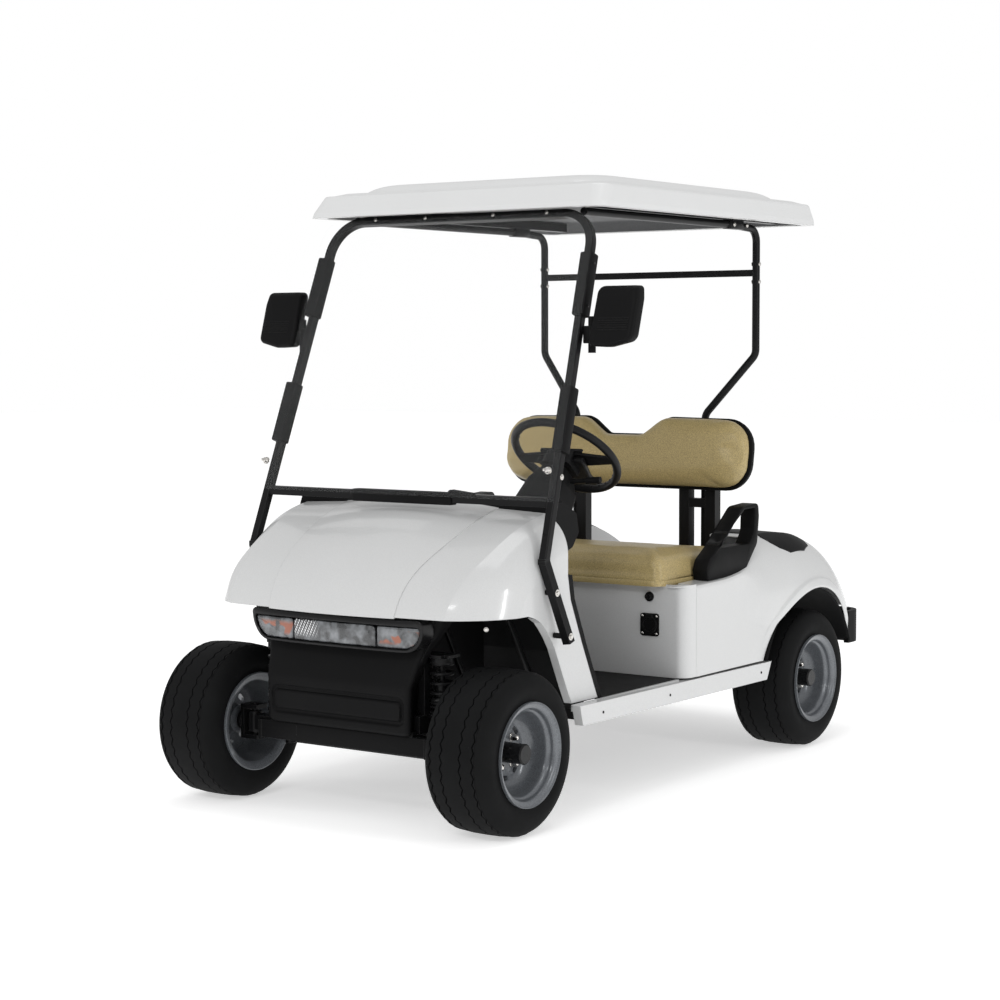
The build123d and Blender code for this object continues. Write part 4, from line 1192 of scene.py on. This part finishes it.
def make_mirrors():
    """Rounded housings that lean with the windshield, ridged across the foot."""
    heads, glass, bands = Shape(), Shape(), Shape()
    outline = refined(rounded_outline(MIRROR))
    for side in SIDES:
        def place(u, v, depth):
            return mm(side * u, MIRROR_Y + depth + MIRROR_LEAN * (v - MIRROR_Z), v)
        heads.put(*pillow(outline, 0, 43, 15, 3, place))
        glass.stack([(inset(outline, 7), 42), (inset(outline, 7), 43.8)], place)
        for k in range(6):
            low = 1382 + 6.6 * k
            high = low + 3.2
            ridge = rounded_outline(oblong(572, 672, low, high, 1.2, 1.2), 3)
            bands.stack([(ridge, 2), (ridge, -1.2)], place)
        heads.put(*tube([mm(side * 536, 400, 1318), mm(side * 536, 400, 1422)],
                        0.011, 24))
        heads.block(mm(side * 524, 400, 1370), (0.024, 0.024, 0.05), 0.003)
        heads.block(mm(side * 556, 396, 1369), (0.038, 0.018, 0.034), 0.003)
    heads.piece("mirror_heads", PLASTIC, "chassis", ("mirrors",), sharp=50)
    glass.piece("mirror_glass", MIRROR_FACE, "chassis", sharp=20)
    bands.piece("mirror_ridges", PLASTIC, "chassis")


make_mirrors()


# ---- body trims
def make_body_fasteners():
    """Screws of the rocker panels and the charge socket, and a bolt by the nose."""
    dark, bright = Shape(), Shape()
    for side in SIDES:
        for y, z in ((420, 286), (796, 286), (1370, 284)):
            dome(dark, mm(side * 562, y, z), Vector((side, 0, 0)), 0.0042)
    for dx in (-25, 25):
        for dz in (-27, 27):
            dome(bright, mm(432 + dx, 888.8, 481 + dz), Vector((0, -1, 0)), 0.0042)
    bolt(bright, mm(404, 62, 552), Vector((0.6, -0.8, 0)), 0.0055, 0.007)
    dark.piece("panel_screws", SATIN, "chassis")
    bright.piece("socket_screws", CHROME, "chassis")


def make_painted_shade_under_roof():
    """Dark textured skin inside the canopy, its walls and ceiling: painted shade under the
    roof.
    """
    rings = [(rounded_outline(oblong(-half, half, front, rear, 36, 36)), z)
             for half, front, rear, z in ((511, 467, 1757, 1737.4),
                                          (483, 501, 1727, 1773.2),
                                          (400, 600, 1620, 1773.4))]
    verts, faces = stacked(rings, mm, caps=False)
    n = len(rings[0][0])
    faces.append(tuple(2 * n + k for k in range(n)))
    Shape().put(verts, faces).piece("roof_painted_shade_liner", PAINTED_SHADE_LINER, "chassis", sharp=50)


def make_canopy_tubes():
    """Tubes along the canopy's sides, with the sockets at their ends."""
    rails = Shape()
    for side in SIDES:
        rails.put(*tube([mm(side * 421, 534, 1729), mm(side * 421, 1405, 1729)],
                        0.0122, 20))
        rails.block(mm(side * 421, 1425, 1729), (0.03, 0.09, 0.03), 0.003)
    rails.piece("canopy_side_tubes", FRAME, "chassis")


make_body_fasteners()
make_painted_shade_under_roof()
make_canopy_tubes()


# ---- front suspension and arches
COIL_TURNS, COIL_R, COIL_FOOT, COIL_TOP = 5.5, 30.5, 262, 372


def make_coils():
    """Close-wound helical springs round the front dampers."""
    coils = Shape()
    steps = 22
    count = int(COIL_TURNS * steps)
    for side in SIDES:
        points = []
        for k in range(count + 1):
            a = 2 * pi * k / steps
            points.append(mm(side * 298 + COIL_R * cos(a), COIL_R * sin(a),
                             COIL_FOOT + (COIL_TOP - COIL_FOOT) * k / count))
        coils.put(*tube(points, 0.0056, 10))
    coils.piece("coil_springs", SATIN, "chassis")


# Ends of the stiffeners on one side
RIBS = (((240, 90, 548), (240, 178, 396)), ((412, 156, 572), (412, 262, 408)))


def make_arch_ribs():
    """Folded stiffeners on the panels that close the front arches."""
    ribs = Shape()
    for side in SIDES:
        for a, b in RIBS:
            a, b = Vector(a), Vector(b)
            d, mid = b - a, (a + b) / 2
            turn = along_matrix((side * d.x, d.y, d.z), (1, 0, 0))
            ribs.block(mm(side * mid.x, mid.y, mid.z), (0.011, 0.016, d.length / 1000),
                       0.002, turn)
    ribs.piece("arch_ribs", FRAME, "chassis")


make_coils()
make_arch_ribs()


# ---- floor, light, camera
def make_stage():
    """Pale floor that glows a little, in plain white surroundings."""
    bpy.ops.mesh.primitive_plane_add(size=60, location=(0, 0, -0.0005))
    floor = bpy.context.object
    floor.name = "studio_floor"
    pale = bpy.data.materials.new("floor_pale")
    pale.use_nodes = True
    fill(pale.node_tree, pale.node_tree.nodes["Principled BSDF"],
         {"Base Color": (0.9, 0.9, 0.9, 1), "Roughness": 0.9, "Emission Color": BRIGHT,
          "Emission Strength": 0.5})
    floor.data.materials.append(pale)


def make_world():
    """Soft light from all round, seen as plain white."""
    world = bpy.data.worlds.new("studio")
    bpy.context.scene.world = world
    world.use_nodes = True
    tree = world.node_tree
    light = fill(tree, tree.nodes["Background"], {"Color": BRIGHT, "Strength": 0.62})
    seen = fill(tree, tree.nodes.new("ShaderNodeBackground"),
                {"Color": BRIGHT, "Strength": 1.0})
    path = tree.nodes.new("ShaderNodeLightPath")
    choice = fill(tree, tree.nodes.new("ShaderNodeMixShader"),
                  {0: path.outputs["Is Camera Ray"], 1: light.outputs[0],
                   2: seen.outputs[0]})
    fill(tree, tree.nodes["World Output"], {"Surface": choice.outputs[0]})
    view = bpy.context.scene.view_settings
    view.view_transform = "Standard"
    view.look = "None"


# name, place, height aimed at, width, height, power, seen in glossy faces
LIGHTS = (("key", (1.5, -6.5, 4.6), 0.8, 3.4, 1.0, 85, True),
          ("side", (6.5, -0.5, 2.6), 0.7, 0.6, 2.6, 60, True),
          ("fill", (-5.5, -4.0, 3.0), 0.8, 1.2, 2.5, 30, False),
          ("top", (0, 0.5, 6.0), 0.5, 4.0, 2.4, 55, True))


def make_lights():
    """Area lights, each aimed at the cart's middle line."""
    for name, place, aim, wide, high, power, mirrored in LIGHTS:
        data = bpy.data.lights.new(name, "AREA")
        data.shape = "RECTANGLE"
        data.size = wide
        data.size_y = high
        data.energy = power
        light = bpy.data.objects.new(name, data)
        bpy.context.scene.collection.objects.link(light)
        light.visible_glossy = mirrored
        light.location = place
        light.rotation_mode = "QUATERNION"
        direction = Vector((0, 0, aim)) - Vector(place)
        light.rotation_quaternion = direction.to_track_quat("-Z", "Y")


CAMERA_PLACE = Vector((3.93756, -5.83458, 1.33638))
CAMERA_HEADING, CAMERA_PITCH, CAMERA_ROLL = 0.612952, 0.0694563, -0.002621
CAMERA_LENS = 79.355


def make_camera():
    """Camera ahead of the cart on the driver's side, at eye height."""
    data = bpy.data.cameras.new("camera")
    data.lens = CAMERA_LENS
    data.sensor_width = 36
    camera = bpy.data.objects.new("camera", data)
    bpy.context.scene.collection.objects.link(camera)
    heading, pitch, roll = CAMERA_HEADING, CAMERA_PITCH, CAMERA_ROLL
    ahead = Vector((-sin(heading) * cos(pitch),
                    cos(heading) * cos(pitch), -sin(pitch)))
    across = Vector((cos(heading), sin(heading), 0))
    up = across.cross(ahead)
    right = across * cos(roll) + up * sin(roll)
    top = up * cos(roll) - across * sin(roll)
    camera.matrix_world = (Matrix.Translation(CAMERA_PLACE)
                           @ Matrix((right, top, -ahead)).transposed().to_4x4())
    bpy.context.scene.camera = camera


make_stage()
make_world()
make_lights()
make_camera()
